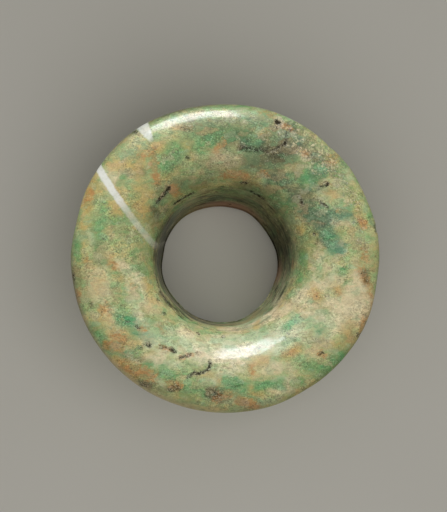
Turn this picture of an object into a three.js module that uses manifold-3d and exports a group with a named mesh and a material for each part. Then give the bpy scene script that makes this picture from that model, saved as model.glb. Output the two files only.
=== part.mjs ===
// Greenstone ear ornament: an ear flare, worn with its stem through a stretched earlobe.
//
// The ornament is one stone. It was sawn to a disc with a stub behind it, drilled through from
// both ends, and ground by hand to a trumpet: a bore, a funnel that opens out of the bore, a
// broad crest, and a lip that rolls over and back. So it is one solid here too: a revolved
// section, then the flats and swells that hand grinding left in its circles, then the chips.
//
// Millimetres, +Z up. The ornament lies on the flat end of its stem with the flare facing up.
// The origin is the centre of that end face, on the axis of the bore.
import * as THREE from "three";
import Module from "manifold-3d";
import { mergeVertices } from "three/addons/utils/BufferGeometryUtils.js";

// Driving dimensions: the flare.
const rimDiameter = 60; // the widest circle, where the lip turns back
const depth = 20; // end of the stem to the crest of the flare
const lipWidth = 6.2; // the widest circle in to the crest, the circle that stands furthest forward
const lipDrop = 2.4; // the crest down to the widest circle
const funnelDepth = 9; // the crest down to the mouth of the bore
const wall = 6; // front to back through the crest
const lipBackRadius = 2.8; // the rounding behind the widest circle
const backSag = 0.4; // how far the back dips from under the crest to the lip
const backWidth = 5.6; // the widest circle in to where the stem's fillet has become the back

// Driving dimensions: the stem.
const stemEndDiameter = 28.2;
const stemTaper = 0.3; // how much less its radius is where the fillet to the flare begins
const stemLength = 7.5; // end face to the start of that fillet
const outerEdgeRadius = 0.6; // wear on the outer edge of the end face
const innerEdgeRadius = 0.4; // wear on its inner edge

// Driving dimensions: the bore. A long drilling from the front met a short one from the back.
const stemEndWall = 2.35; // stone between the stem's outside and the back drilling's mouth
const backDrillTaper = 0.35; // how much the back drilling narrows, in radius
const ledgeHeight = 3; // end face to the narrowest circle, where the two drillings meet
const ledgeWidth = 0.25; // the step in radius between them
const ledgeRise = 0.3; // its height
const frontDrillTaper = 1.15; // how much the front drilling widens up to the funnel, in radius

// Driving dimensions: hand work and wear.
const grindingReach = 0.4; // the furthest that grinding moved a circle in or out
const chipRadius = 2.4; // the sphere that fits the largest chip's scar
const chipBite = 0.42; // how deep that scar bites in from the widest circle
const chipRise = 0.7; // how far its middle lies above the widest circle

// Where grinding moved a stretch of a circle: the middle and the span of the stretch in degrees,
// anticlockwise from +X as seen from the front, and its share of the reach, outward positive.
const rimGrindingShares = [
  { at: 128, span: 52, share: 0.75 },
  { at: 167, span: 34, share: -0.95 },
  { at: 92, span: 34, share: -0.35 },
  { at: 48, span: 28, share: -0.35 },
  { at: 24, span: 26, share: -0.4 },
  { at: 351, span: 24, share: -0.5 },
  { at: 332, span: 24, share: 0.3 },
  { at: 300, span: 22, share: -0.3 },
  { at: 189, span: 30, share: -0.3 },
];
const boreGrindingShares = [
  { at: 32, span: 52, share: -0.6 },
  { at: 63, span: 34, share: 0.3 },
  { at: 130, span: 56, share: 0.5 },
  { at: 171, span: 30, share: -0.35 },
  { at: 222, span: 48, share: -0.55 },
  { at: 292, span: 44, share: 0.5 },
  { at: 336, span: 34, share: -0.4 },
];
// The crest is not quite level, and here the share is of a rise or fall.
const crestGrindingShares = [
  { at: 40, span: 120, share: -0.6 },
  { at: 210, span: 150, share: 0.4 },
  { at: 310, span: 80, share: -0.4 },
];

// Chips on the rim: the angle, and the scar's size as a share of the largest one.
const chipShares = [
  { at: 47, share: 1 },
  { at: 11, share: 0.5 },
];

const aroundSteps = 80; // facets round a circle
const chipSteps = 14; // facets round a chip's sphere
const weldTolerance = 1e-3;

const rimRadius = rimDiameter / 2;
const crestRadius = rimRadius - lipWidth;
const stemEndRadius = stemEndDiameter / 2;
const backMouthRadius = stemEndRadius - stemEndWall;
const ledgeRadius = backMouthRadius - backDrillTaper;
const frontDrillRadius = ledgeRadius + ledgeWidth;
const boreMouthRadius = frontDrillRadius + frontDrillTaper;
const rimHeight = depth - lipDrop;
const boreMouthHeight = depth - funnelDepth;
const backHeight = depth - wall;

const degrees = Math.PI / 180;
const quarterTurn = 90 * degrees;
const rightwards = 0;
const upwards = quarterTurn;
const leftwards = 2 * quarterTurn;
const downwards = 3 * quarterTurn;

// A stretch of the section is a curve and the number of chords that stand for it.
function straight(from, to, chords) {
  return { curve: new THREE.LineCurve(from, to), chords };
}

// A quarter of an ellipse, anticlockwise from one direction to the next, or clockwise if hollow.
function quarter(centre, halfWidth, halfHeight, from, to, chords, hollow = false) {
  const curve = new THREE.EllipseCurve(
    centre.x, centre.y, halfWidth, halfHeight, from, to, hollow,
  );
  return { curve, chords };
}

// The section of the stone on one side of its axis: x is the radius and y the height. It runs
// from the outer edge of the stem's end up the stem, along the back, over the lip and the crest,
// down the funnel and the front drilling, over the ledge, down the back drilling, and closes
// across the end face.
function stoneSection() {
  const point = (radius, height) => new THREE.Vector2(radius, height);
  const ledge = point(ledgeRadius, ledgeHeight);
  const backMouth = point(backMouthRadius, innerEdgeRadius);
  const endInside = point(backMouthRadius + innerEdgeRadius, 0);
  const endOutside = point(stemEndRadius - outerEdgeRadius, 0);
  const stemFoot = point(stemEndRadius, outerEdgeRadius);
  const stemTop = point(stemEndRadius - stemTaper, stemLength);
  const shoulder = point(rimRadius - backWidth, backHeight);
  const lipBack = point(rimRadius - lipBackRadius, backHeight - backSag);
  const halfway = (shoulder.x + lipBack.x) / 2;
  const boreMouth = point(boreMouthRadius, boreMouthHeight);
  const boreFoot = point(frontDrillRadius, ledgeHeight + ledgeRise);

  const back = {
    curve: new THREE.CubicBezierCurve(
      shoulder, point(halfway, shoulder.y), point(halfway, lipBack.y), lipBack,
    ),
    chords: 3,
  };
  return [
    quarter(
      point(endOutside.x, stemFoot.y), outerEdgeRadius, outerEdgeRadius,
      downwards, rightwards, 3,
    ),
    straight(stemFoot, stemTop, 3),
    quarter(
      point(shoulder.x, stemTop.y), shoulder.x - stemTop.x, shoulder.y - stemTop.y,
      leftwards, upwards, 10, true,
    ),
    back,
    quarter(
      point(lipBack.x, rimHeight), lipBackRadius, rimHeight - lipBack.y,
      downwards, rightwards, 5,
    ),
    quarter(point(crestRadius, rimHeight), lipWidth, lipDrop, rightwards, upwards, 11),
    quarter(
      point(crestRadius, boreMouth.y), crestRadius - boreMouth.x, funnelDepth,
      upwards, leftwards, 13,
    ),
    straight(boreMouth, boreFoot, 3),
    straight(boreFoot, ledge, 1),
    straight(ledge, backMouth, 2),
    quarter(
      point(endInside.x, backMouth.y), innerEdgeRadius, innerEdgeRadius,
      leftwards, downwards, 3,
    ),
    straight(endInside, endOutside, 1),
  ];
}

function sectionPoints(section) {
  const points = [];
  for (const { curve, chords } of section) {
    for (let chord = 0; chord < chords; chord += 1) {
      points.push(curve.getPoint(chord / chords));
    }
  }
  points.push(points[0].clone());
  return points;
}

// The sum of the swells and flats at an angle. Each has its full share in the middle of its
// span and nothing at its ends.
function grindingAt(angle, shares) {
  let total = 0;
  for (const { at, span, share } of shares) {
    const away = Math.abs(THREE.MathUtils.euclideanModulo(angle - at + 180, 360) - 180);
    const fade = Math.min(1, away / (span / 2));
    total += share * Math.cos(fade * quarterTurn) ** 2;
  }
  return total * grindingReach;
}

// Moves the surface of the revolved stone as the grinding did. The rim's marks fade out in
// towards the crest, the bore's where the funnel turns to face forward, and the crest's down
// to the widest circle, so the end of the stem stays flat.
function grindByHand(geometry) {
  const position = geometry.getAttribute("position");
  const normal = geometry.getAttribute("normal");
  for (let index = 0; index < position.count; index += 1) {
    const x = position.getX(index);
    const y = position.getY(index);
    const z = position.getZ(index);
    const radius = Math.hypot(x, y);
    const angle = Math.atan2(y, x) / degrees;
    const facesAxis = -(normal.getX(index) * x + normal.getY(index) * y) / radius;

    const onLip = THREE.MathUtils.smoothstep(radius, crestRadius, rimRadius);
    const inBore = THREE.MathUtils.smoothstep(facesAxis, 0, 1);
    const onCrest = THREE.MathUtils.smoothstep(z, rimHeight, depth);
    const ground = radius
      + onLip * grindingAt(angle, rimGrindingShares)
      + inBore * grindingAt(angle, boreGrindingShares);
    position.setXYZ(
      index,
      (x * ground) / radius,
      (y * ground) / radius,
      z + onCrest * grindingAt(angle, crestGrindingShares),
    );
  }
  return geometry;
}

const wasm = await Module();
wasm.setup();

function toSolid(geometry) {
  const bare = geometry.clone();
  bare.deleteAttribute("normal");
  bare.deleteAttribute("uv");
  const merged = mergeVertices(bare, weldTolerance);
  return new wasm.Manifold(new wasm.Mesh({
    numProp: 3,
    vertProperties: merged.getAttribute("position").array,
    triVerts: new Uint32Array(merged.index.array),
  }));
}

function toGeometry(solid) {
  const mesh = solid.getMesh();
  const geometry = new THREE.BufferGeometry();
  geometry.setAttribute("position", new THREE.BufferAttribute(mesh.vertProperties, 3));
  geometry.setIndex(new THREE.BufferAttribute(mesh.triVerts, 1));
  geometry.computeVertexNormals();
  return geometry;
}

// The scar of a chip is the hollow that a sphere leaves where it bites into the rim.
function chipSphere({ at, share }) {
  const radius = chipRadius * share;
  const fromAxis = rimRadius + radius - chipBite * share;
  const sphere = new THREE.SphereGeometry(radius, chipSteps, chipSteps);
  sphere.translate(
    fromAxis * Math.cos(at * degrees),
    fromAxis * Math.sin(at * degrees),
    rimHeight + chipRise * share,
  );
  return sphere;
}

function earFlareGeometry() {
  const stone = new THREE.LatheGeometry(sectionPoints(stoneSection()), aroundSteps);
  stone.rotateX(quarterTurn);
  let solid = toSolid(grindByHand(stone));
  for (const chip of chipShares) {
    solid = solid.subtract(toSolid(chipSphere(chip)));
  }
  return toGeometry(solid);
}

const greenstone = new THREE.MeshStandardMaterial({
  name: "greenstone",
  color: 0x8c9a6c,
  roughness: 0.32,
  metalness: 0,
});

const earFlare = new THREE.Mesh(earFlareGeometry(), greenstone);
earFlare.name = "ear_flare_stone";

const earOrnament = new THREE.Group();
earOrnament.name = "ear_ornament";
earOrnament.add(earFlare);

export default earOrnament;
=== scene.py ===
# %% [markdown]
# # A greenstone ear flare
# The ornament is one stone. It was sawn to a disc with a stub behind it, drilled through from
# both ends, ground to a trumpet by hand and polished, and it has lain in the ground since. This
# lesson revolves the stone from its section, wears it by hand, places its minerals, and lights
# it on a pale floor.
#
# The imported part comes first. It fixes the place and the size of everything, and its box is
# kept, so that the finished piece can be compared with it. Units are metres and +Z is up.

# %% Load the part
import math

import bmesh
import bpy
import numpy as np
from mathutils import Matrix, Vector, noise


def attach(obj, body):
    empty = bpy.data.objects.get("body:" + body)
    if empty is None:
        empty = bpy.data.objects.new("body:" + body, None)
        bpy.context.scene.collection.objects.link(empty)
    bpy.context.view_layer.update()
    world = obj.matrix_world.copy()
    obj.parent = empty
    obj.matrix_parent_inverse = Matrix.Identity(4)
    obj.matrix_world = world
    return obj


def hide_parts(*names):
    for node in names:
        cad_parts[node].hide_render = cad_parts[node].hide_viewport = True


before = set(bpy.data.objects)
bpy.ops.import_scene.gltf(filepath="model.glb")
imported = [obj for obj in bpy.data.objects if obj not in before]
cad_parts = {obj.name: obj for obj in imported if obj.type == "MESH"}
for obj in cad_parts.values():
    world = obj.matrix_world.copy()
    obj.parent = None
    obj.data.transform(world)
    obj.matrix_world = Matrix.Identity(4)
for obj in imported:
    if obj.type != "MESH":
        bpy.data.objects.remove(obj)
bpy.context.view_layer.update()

STONE_NODE = "ear_flare_stone"
MM = 0.001

# %% [markdown]
# ## The section
# Cut the ornament along its axis, and each side shows the same closed outline. The front is two
# quarter ellipses back to back, the rolled lip and the funnel; the back is a hollow sweep from
# the stem to the lip. The outline could be a traced drawing, but a few radii and heights say
# the same and stay easy to change.

# %% Sizes of the section
RIM_RADIUS = 30.0 * MM  # the widest circle, where the lip turns back
DEPTH = 20.0 * MM  # the end of the stem to the crest
LIP_WIDTH = 6.2 * MM  # the widest circle in to the crest
LIP_DROP = 2.4 * MM  # the crest down to the widest circle
FUNNEL_DEPTH = 9.0 * MM
WALL = 6.0 * MM
LIP_BACK_RADIUS = 2.8 * MM
BACK_SAG = 0.4 * MM
BACK_WIDTH = 5.6 * MM

STEM_END_RADIUS = 14.1 * MM
STEM_TAPER = 0.3 * MM
STEM_LENGTH = 7.5 * MM
OUTER_EDGE_RADIUS = 0.6 * MM
INNER_EDGE_RADIUS = 0.4 * MM

STEM_END_WALL = 2.35 * MM
BACK_DRILL_TAPER = 0.35 * MM
LEDGE_HEIGHT = 3.0 * MM  # where the drilling from the front met the one from the back
LEDGE_WIDTH = 0.25 * MM
LEDGE_RISE = 0.3 * MM
FRONT_DRILL_TAPER = 1.15 * MM

CREST_RADIUS = RIM_RADIUS - LIP_WIDTH
RIM_HEIGHT = DEPTH - LIP_DROP
BACK_HEIGHT = DEPTH - WALL
BACK_MOUTH_RADIUS = STEM_END_RADIUS - STEM_END_WALL
LEDGE_RADIUS = BACK_MOUTH_RADIUS - BACK_DRILL_TAPER
BORE_FOOT_RADIUS = LEDGE_RADIUS + LEDGE_WIDTH
BORE_MOUTH_RADIUS = BORE_FOOT_RADIUS + FRONT_DRILL_TAPER
BORE_MOUTH_HEIGHT = DEPTH - FUNNEL_DEPTH
print("the bore is", round(2 * LEDGE_RADIUS / MM, 1), "mm wide where the two drillings meet")

# %% [markdown]
# A pen draws the section: one vertex is extruded again and again, and each new one is set down
# on a line or on a quarter of an ellipse. The last number of each stroke is its count of steps,
# chosen so that the edges come out about a third of a millimetre long. That is fine enough to
# hold the chips and pits that follow.


# %% A pen for lines and arcs
def extrude_point(bm, tip, place):
    """Extrudes the vertex at the pen's tip and sets the new one down at a place."""
    drawn = bmesh.ops.extrude_vert_indiv(bm, verts=[tip])["verts"][0]
    drawn.co = place
    return drawn


def line_to(bm, tip, radius, height, steps):
    start, end = tip.co.copy(), Vector((radius, 0, height))
    for step in range(1, steps + 1):
        tip = extrude_point(bm, tip, start.lerp(end, step / steps))
    return tip


def arc_to(bm, tip, centre, half_width, half_height, turn, steps):
    """A stretch of an ellipse; turn is its first and last direction, in degrees from outward."""
    for step in range(1, steps + 1):
        angle = math.radians(turn[0] + (turn[1] - turn[0]) * step / steps)
        across, up = half_width * math.cos(angle), half_height * math.sin(angle)
        tip = extrude_point(bm, tip, Vector((centre[0] + across, 0, centre[1] + up)))
    return tip


# %% Draw the section
WELD = 0.001 * MM  # points closer together than this are one


def draw_section(bm):
    """The closed outline of the stone on the +X side of its axis, in the XZ plane."""
    shoulder_radius = RIM_RADIUS - BACK_WIDTH
    lip_back_radius = RIM_RADIUS - LIP_BACK_RADIUS
    lip_back_height = BACK_HEIGHT - BACK_SAG
    stem_top_radius = STEM_END_RADIUS - STEM_TAPER
    end_inside = BACK_MOUTH_RADIUS + INNER_EDGE_RADIUS
    end_outside = STEM_END_RADIUS - OUTER_EDGE_RADIUS

    tip = bm.verts.new((end_outside, 0, 0))
    tip = arc_to(bm, tip, (end_outside, OUTER_EDGE_RADIUS), OUTER_EDGE_RADIUS,
                 OUTER_EDGE_RADIUS, (-90, 0), 4)
    tip = line_to(bm, tip, stem_top_radius, STEM_LENGTH, 14)
    tip = arc_to(bm, tip, (shoulder_radius, STEM_LENGTH), shoulder_radius - stem_top_radius,
                 BACK_HEIGHT - STEM_LENGTH, (180, 90), 28)
    tip = line_to(bm, tip, lip_back_radius, lip_back_height, 6)
    tip = arc_to(bm, tip, (lip_back_radius, RIM_HEIGHT), LIP_BACK_RADIUS,
                 RIM_HEIGHT - lip_back_height, (-90, 0), 12)
    tip = arc_to(bm, tip, (CREST_RADIUS, RIM_HEIGHT), LIP_WIDTH, LIP_DROP, (0, 90), 32)
    tip = arc_to(bm, tip, (CREST_RADIUS, BORE_MOUTH_HEIGHT), CREST_RADIUS - BORE_MOUTH_RADIUS,
                 FUNNEL_DEPTH, (90, 180), 46)
    tip = line_to(bm, tip, BORE_FOOT_RADIUS, LEDGE_HEIGHT + LEDGE_RISE, 24)
    tip = line_to(bm, tip, LEDGE_RADIUS, LEDGE_HEIGHT, 2)
    tip = line_to(bm, tip, BACK_MOUTH_RADIUS, INNER_EDGE_RADIUS, 8)
    tip = arc_to(bm, tip, (end_inside, INNER_EDGE_RADIUS), INNER_EDGE_RADIUS,
                 INNER_EDGE_RADIUS, (180, 270), 4)
    line_to(bm, tip, end_outside, 0, 4)


shape = bmesh.new()
draw_section(shape)
bmesh.ops.remove_doubles(shape, verts=shape.verts, dist=WELD)
print("the section has", len(shape.verts), "points")

# %% [markdown]
# ## Turning the section
# A spin about the bore's axis makes the stone. One spin through the whole turn would do, but
# its time grows with the square of the steps, so a twelfth is spun first and then copies of it
# are turned round the axis. Where the copies meet their points are merged, which closes the
# surface, and the normals are recalculated because a spin can leave them inward.

# %% Spin a twelfth, then turn copies of it
WEDGES = 12
STEPS_PER_WEDGE = 44


def spin_about_axis(bm, geometry, angle, steps, copies):
    bmesh.ops.spin(
        bm, geom=geometry, cent=(0, 0, 0), axis=(0, 0, 1), dvec=(0, 0, 0), angle=angle,
        steps=steps, use_merge=False, use_duplicate=copies,
    )


spin_about_axis(shape, shape.verts[:] + shape.edges[:], math.tau / WEDGES, STEPS_PER_WEDGE, False)
wedge = shape.verts[:] + shape.edges[:] + shape.faces[:]
spin_about_axis(shape, wedge, math.tau, WEDGES, True)
bmesh.ops.remove_doubles(shape, verts=shape.verts, dist=WELD)
bmesh.ops.recalc_face_normals(shape, faces=shape.faces)
for face in shape.faces:
    face.smooth = True
stone_mesh = bpy.data.meshes.new("ear_flare")
shape.to_mesh(stone_mesh)
open_edges = sum(not edge.is_manifold for edge in shape.edges)
print("the stone has", len(shape.faces), "faces and", open_edges, "open edges")
shape.free()

# %% [markdown]
# ## Grinding by hand
# No lathe made this stone, so none of its circles is true. Stretches of the rim were ground a
# little flatter or left a little fuller, and so was the bore. Each mark below is the middle of
# a stretch, its span, and how far it moves the surface. A lattice or a sculpting brush could do
# this too; numbers keep it exact, and the same numbers are in the part that carries the stone.
#
# The whole mesh is read into one array, because tens of thousands of points are moved at once.


# %% Read and write the points
def read_points(mesh):
    points = np.empty(len(mesh.vertices) * 3, np.float32)
    mesh.vertices.foreach_get("co", points)
    return points.reshape(-1, 3).astype(float)


def write_points(mesh, points):
    mesh.vertices.foreach_set("co", points.astype(np.float32).ravel())
    mesh.update()


def read_normals(mesh):
    normals = np.empty(len(mesh.vertices) * 3, np.float32)
    mesh.vertex_normals.foreach_get("vector", normals)
    return normals.reshape(-1, 3).astype(float)


# %% Shares that change smoothly, and stretches round the axis
def fade_in(value, low, high):
    """Nothing up to the low value, one from the high value on."""
    share = np.clip((value - low) / (high - low), 0, 1)
    return share * share * (3 - 2 * share)


def fade_out(value, low, high):
    return 1 - fade_in(value, low, high)


def distance_from_axis(points):
    return np.hypot(points[:, 0], points[:, 1])


def round_the_axis(points, marks):
    """The sum of stretches. Each has its full amount in its middle and nothing at its ends."""
    angle = np.degrees(np.arctan2(points[:, 1], points[:, 0]))
    total = np.zeros(len(points))
    for middle, span, amount in marks:
        away = np.abs((angle - middle + 180) % 360 - 180)
        total += amount * np.cos(np.clip(away / (span / 2), 0, 1) * math.pi / 2) ** 2
    return total


# %% Grind the stone
# Degrees anticlockwise from +X seen from the front, and millimetres, outward positive.
RIM_GRINDING = [
    (128, 52, 0.30), (167, 34, -0.38), (92, 34, -0.14), (48, 28, -0.14), (24, 26, -0.16),
    (351, 24, -0.20), (332, 24, 0.12), (300, 22, -0.12), (189, 30, -0.12),
]
BORE_GRINDING = [
    (32, 52, -0.24), (63, 34, 0.12), (130, 56, 0.20), (171, 30, -0.14), (222, 48, -0.22),
    (292, 44, 0.20), (336, 34, -0.16),
]
CREST_GRINDING = [(40, 120, -0.24), (210, 150, 0.16), (310, 80, -0.16)]


def grind_by_hand(points, normals):
    radius = distance_from_axis(points)
    faces_axis = -(normals[:, 0] * points[:, 0] + normals[:, 1] * points[:, 1]) / radius
    on_lip = fade_in(radius, CREST_RADIUS, RIM_RADIUS)
    in_bore = fade_in(faces_axis, 0, 1)
    on_crest = fade_in(points[:, 2], RIM_HEIGHT, DEPTH)
    outward = on_lip * round_the_axis(points, RIM_GRINDING)
    outward += in_bore * round_the_axis(points, BORE_GRINDING)
    upward = on_crest * round_the_axis(points, CREST_GRINDING)
    points[:, :2] *= (1 + outward * MM / radius)[:, None]
    points[:, 2] += upward * MM
    return points


stone_points = grind_by_hand(read_points(stone_mesh), read_normals(stone_mesh))
write_points(stone_mesh, stone_points)
print("the rim now reaches", round(distance_from_axis(stone_points).max() / MM, 2), "mm out")

# %% [markdown]
# ## Places on the front
# Chips, pits and minerals are placed where they are seen from the front. The eye looks down the
# bore a few degrees from the lower left, so a point deep in the funnel shows a little further
# down and left than it lies. The helper finds the point of the surface that shows at a place.

# %% Find a place on the surface
LOOK_FROM_LEFT = math.tan(math.radians(4.5))
LOOK_FROM_BELOW = math.tan(math.radians(5.0))
TOWARDS_EYE = Vector((-LOOK_FROM_LEFT, -LOOK_FROM_BELOW, 1.0)).normalized()
FACING = 0.02  # the least lean towards the eye of a surface that can be seen


def seen_from_front(points):
    """Where points show from the front: metres right and up of the axis at the rim's height."""
    rise = points[:, 2] - RIM_HEIGHT
    return points[:, 0] + rise * LOOK_FROM_LEFT, points[:, 1] + rise * LOOK_FROM_BELOW


class Front:
    """The points of the stone that face the viewer, and a search among them."""

    def __init__(self, points, normals):
        facing = normals @ np.array(TOWARDS_EYE) > FACING
        self.index = np.nonzero(facing & (points[:, 2] > LEDGE_HEIGHT))[0]
        self.points = points
        self.right, self.up = seen_from_front(points[self.index])

    def find(self, right, up):
        """The surface point that shows at a place given in millimetres."""
        away = (self.right - right * MM) ** 2 + (self.up - up * MM) ** 2
        return self.points[self.index[away.argmin()]]


front = Front(stone_points, read_normals(stone_mesh))
print("the top of the lip lies at", [round(x / MM, 1) for x in front.find(0, 27)])

# %% [markdown]
# ## Chips
# The rim has two chips, shallow shells with a sharp edge, and a third at the lower left that is
# very small. A boolean cut with a ball would leave slivers round each scar. Here the ball is
# pushed in and takes the surface with it, as a sculpting brush would.

# %% Chip the rim
# Degrees round the rim, and in millimetres the ball's radius, its bite and its rise.
CHIPS = [(47, 2.4, 0.42, 0.70), (11, 1.2, 0.30, 0.35), (220, 1.8, 0.24, 0.10)]


def press_ball(points, centre, radius):
    """Points inside the ball move straight out from its middle, onto its surface."""
    offset = points - centre
    distance = np.linalg.norm(offset, axis=1)
    inside = distance < radius
    points[inside] = centre + offset[inside] * (radius / distance[inside])[:, None]
    return int(inside.sum())


for around, radius, bite, rise in CHIPS:
    reach = RIM_RADIUS + (radius - bite) * MM
    turn = math.radians(around)
    middle = np.array((reach * math.cos(turn), reach * math.sin(turn), RIM_HEIGHT + rise * MM))
    print("a chip moved", press_ball(stone_points, middle, radius * MM), "points")
write_points(stone_mesh, stone_points)

# %% [markdown]
# ## Pits
# Small pits stay where soft grains fell out. Those that show by themselves are listed one by one.
# Many more are drawn by chance, and every second one falls in the coarse patch at the upper
# right, where the polish broke up. A bump could fake them, but a real hollow catches the light
# from every side and shows on the rim.

# %% Sink the pits
# Millimetres right and up of the axis, radius and depth.
PITS = [
    (10.2, 26.3, 0.60, 0.36), (11.9, 25.4, 0.85, 0.26), (10.3, 25.0, 0.40, 0.14),
    (11.5, 22.0, 0.45, 0.20), (10.3, 21.2, 0.40, 0.14), (5.5, 21.2, 0.60, 0.14),
    (14.9, 11.0, 0.50, 0.16), (19.4, 10.2, 0.45, 0.16), (19.6, 13.9, 0.40, 0.14),
    (17.3, 4.7, 0.45, 0.16), (-4.3, -21.5, 0.50, 0.16), (-5.7, -22.0, 0.45, 0.14),
    (-11.5, -17.5, 0.50, 0.14), (-14.9, -16.7, 0.45, 0.14), (-7.1, -18.9, 0.45, 0.10),
    (-18.0, 24.2, 0.45, 0.16), (-0.7, -15.4, 0.40, 0.12), (-2.4, -26.1, 0.50, 0.14),
    (27.3, -4.3, 0.60, 0.12), (-10.0, -25.0, 0.50, 0.14), (26.8, -14.9, 0.50, 0.12),
]
COARSE_PATCH = (16.5, 22.0)  # its middle, in millimetres right and up
COARSE_SCATTER = 3.25 * MM  # how widely its pits are strewn
LOOSE_PITS = 260
LOOSE_PIT_RADII = (0.35, 0.65)
LOOSE_PIT_DEPTH = 0.16  # a share of its radius
STEM_END_CLEAR = 0.5 * MM  # no pit is drawn below this, so the end of the stem stays flat
pit_draw = np.random.default_rng(12)


def hollow(points, centre, reach):
    """One in the middle, falling smoothly to nothing at the reach."""
    away = ((points - centre) ** 2).sum(axis=1)
    return np.clip(1 - away / reach**2, 0, 1) ** 1.5


def sink_pit(points, normals, centre, radius, depth):
    share = hollow(points, centre, radius)
    near = share > 0
    points[near] -= normals[near] * (depth * share[near])[:, None]


stone_normals = read_normals(stone_mesh)
for right, up, radius, depth in PITS:
    sink_pit(stone_points, stone_normals, front.find(right, up), radius * MM, depth * MM)
coarse_middle = front.find(*COARSE_PATCH)
for number in range(LOOSE_PITS):
    centre = stone_points[pit_draw.integers(len(stone_points))]
    if number % 2:
        centre = coarse_middle + pit_draw.normal(0, COARSE_SCATTER, 3)
    radius = pit_draw.uniform(*LOOSE_PIT_RADII) * MM
    if centre[2] > STEM_END_CLEAR:
        sink_pit(stone_points, stone_normals, centre, radius, LOOSE_PIT_DEPTH * radius)
print("sank", len(PITS), "pits by hand and", LOOSE_PITS, "at random")

# %% [markdown]
# ## The polisher's unevenness and the drill's rings
# A hand polish follows the stone's hard and soft places, so the whole surface swells and sinks
# by a few hundredths of a millimetre, which bends the highlights. The drill left fine rings in
# the bore; they wander a little, because a hand drill wobbles. Both are noise, read at each
# point: in three even directions for the swells, and for the rings slowly round the bore and
# quickly outward and up it.

# %% Let the polish swell, and cut the rings
SWELL = 0.05 * MM
SWELL_SINK = 0.5  # taken off every swell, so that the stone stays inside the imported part
SWELL_LENGTH = 7.0 * MM
SWELL_OCTAVES = 3
SWELL_FROM = (0.2 * MM, 1.5 * MM)  # heights over which the swells begin, above the flat end
RING_DEPTH = 0.045 * MM
RINGS_PER_MM = (2.2, 0.55)  # outward, and up
RING_TURN_PER_MM = 0.12
FINE_RING = (2.3, 0.5)  # how much closer the finer rings lie, and their share of the depth
RING_FADE = (BORE_MOUTH_RADIUS, BORE_MOUTH_RADIUS + 3.2 * MM)


def swells(points):
    """Slow rises and falls, one number for each point, none on the flat end of the stem."""
    amounts = [
        noise.fractal(Vector(point) / SWELL_LENGTH, 1.0, 2.0, SWELL_OCTAVES) for point in points
    ]
    return (np.array(amounts) - SWELL_SINK) * fade_in(points[:, 2], *SWELL_FROM)


def drill_rings(points):
    """Ridges above nothing and grooves below it; they run round the bore and up the funnel."""
    rings = fade_out(distance_from_axis(points), *RING_FADE)
    rings[points[:, 2] <= OUTER_EDGE_RADIUS] = 0
    outward, up = RINGS_PER_MM
    closer, share = FINE_RING
    for number in np.nonzero(rings)[0]:
        x, y, z = points[number] / MM
        place = Vector((
            x * RING_TURN_PER_MM, y * RING_TURN_PER_MM, math.hypot(x, y) * outward + z * up,
        ))
        rings[number] *= noise.noise(place) + share * noise.noise(closer * place)
    return rings


rings = drill_rings(stone_points)
stone_points += stone_normals * (SWELL * swells(stone_points) + RING_DEPTH * rings)[:, None]
write_points(stone_mesh, stone_points)
stone_normals = read_normals(stone_mesh)
front = Front(stone_points, stone_normals)
print("the stone is now", round(stone_points[:, 2].max() / MM, 2), "mm deep")

# %% [markdown]
# ## The minerals
# The stone is a felt of green crystals, clouded by pale ones and stained by iron along its
# cracks. The clouds lie where chance put them, so no noise alone gives this stone. Each mark is
# a soft stroke through the stone, from one place to another on the front, and its amount is
# stored with the points as an attribute. The material then breaks its edge up with noise, so
# that no stroke shows. Painting by hand would do the same, but not from a script.
#
# A mark is six numbers: millimetres right and up of the axis as seen from the front, for both
# its ends, then its reach and the amount in its middle. Each list goes round the stone
# anticlockwise, from the right.
#
# ### Greens
# Leaf green makes the broad clouds. Teal is the deep blue-green at the right and at the lower
# left, and emerald is the few saturated spots in the middle of both.

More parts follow.
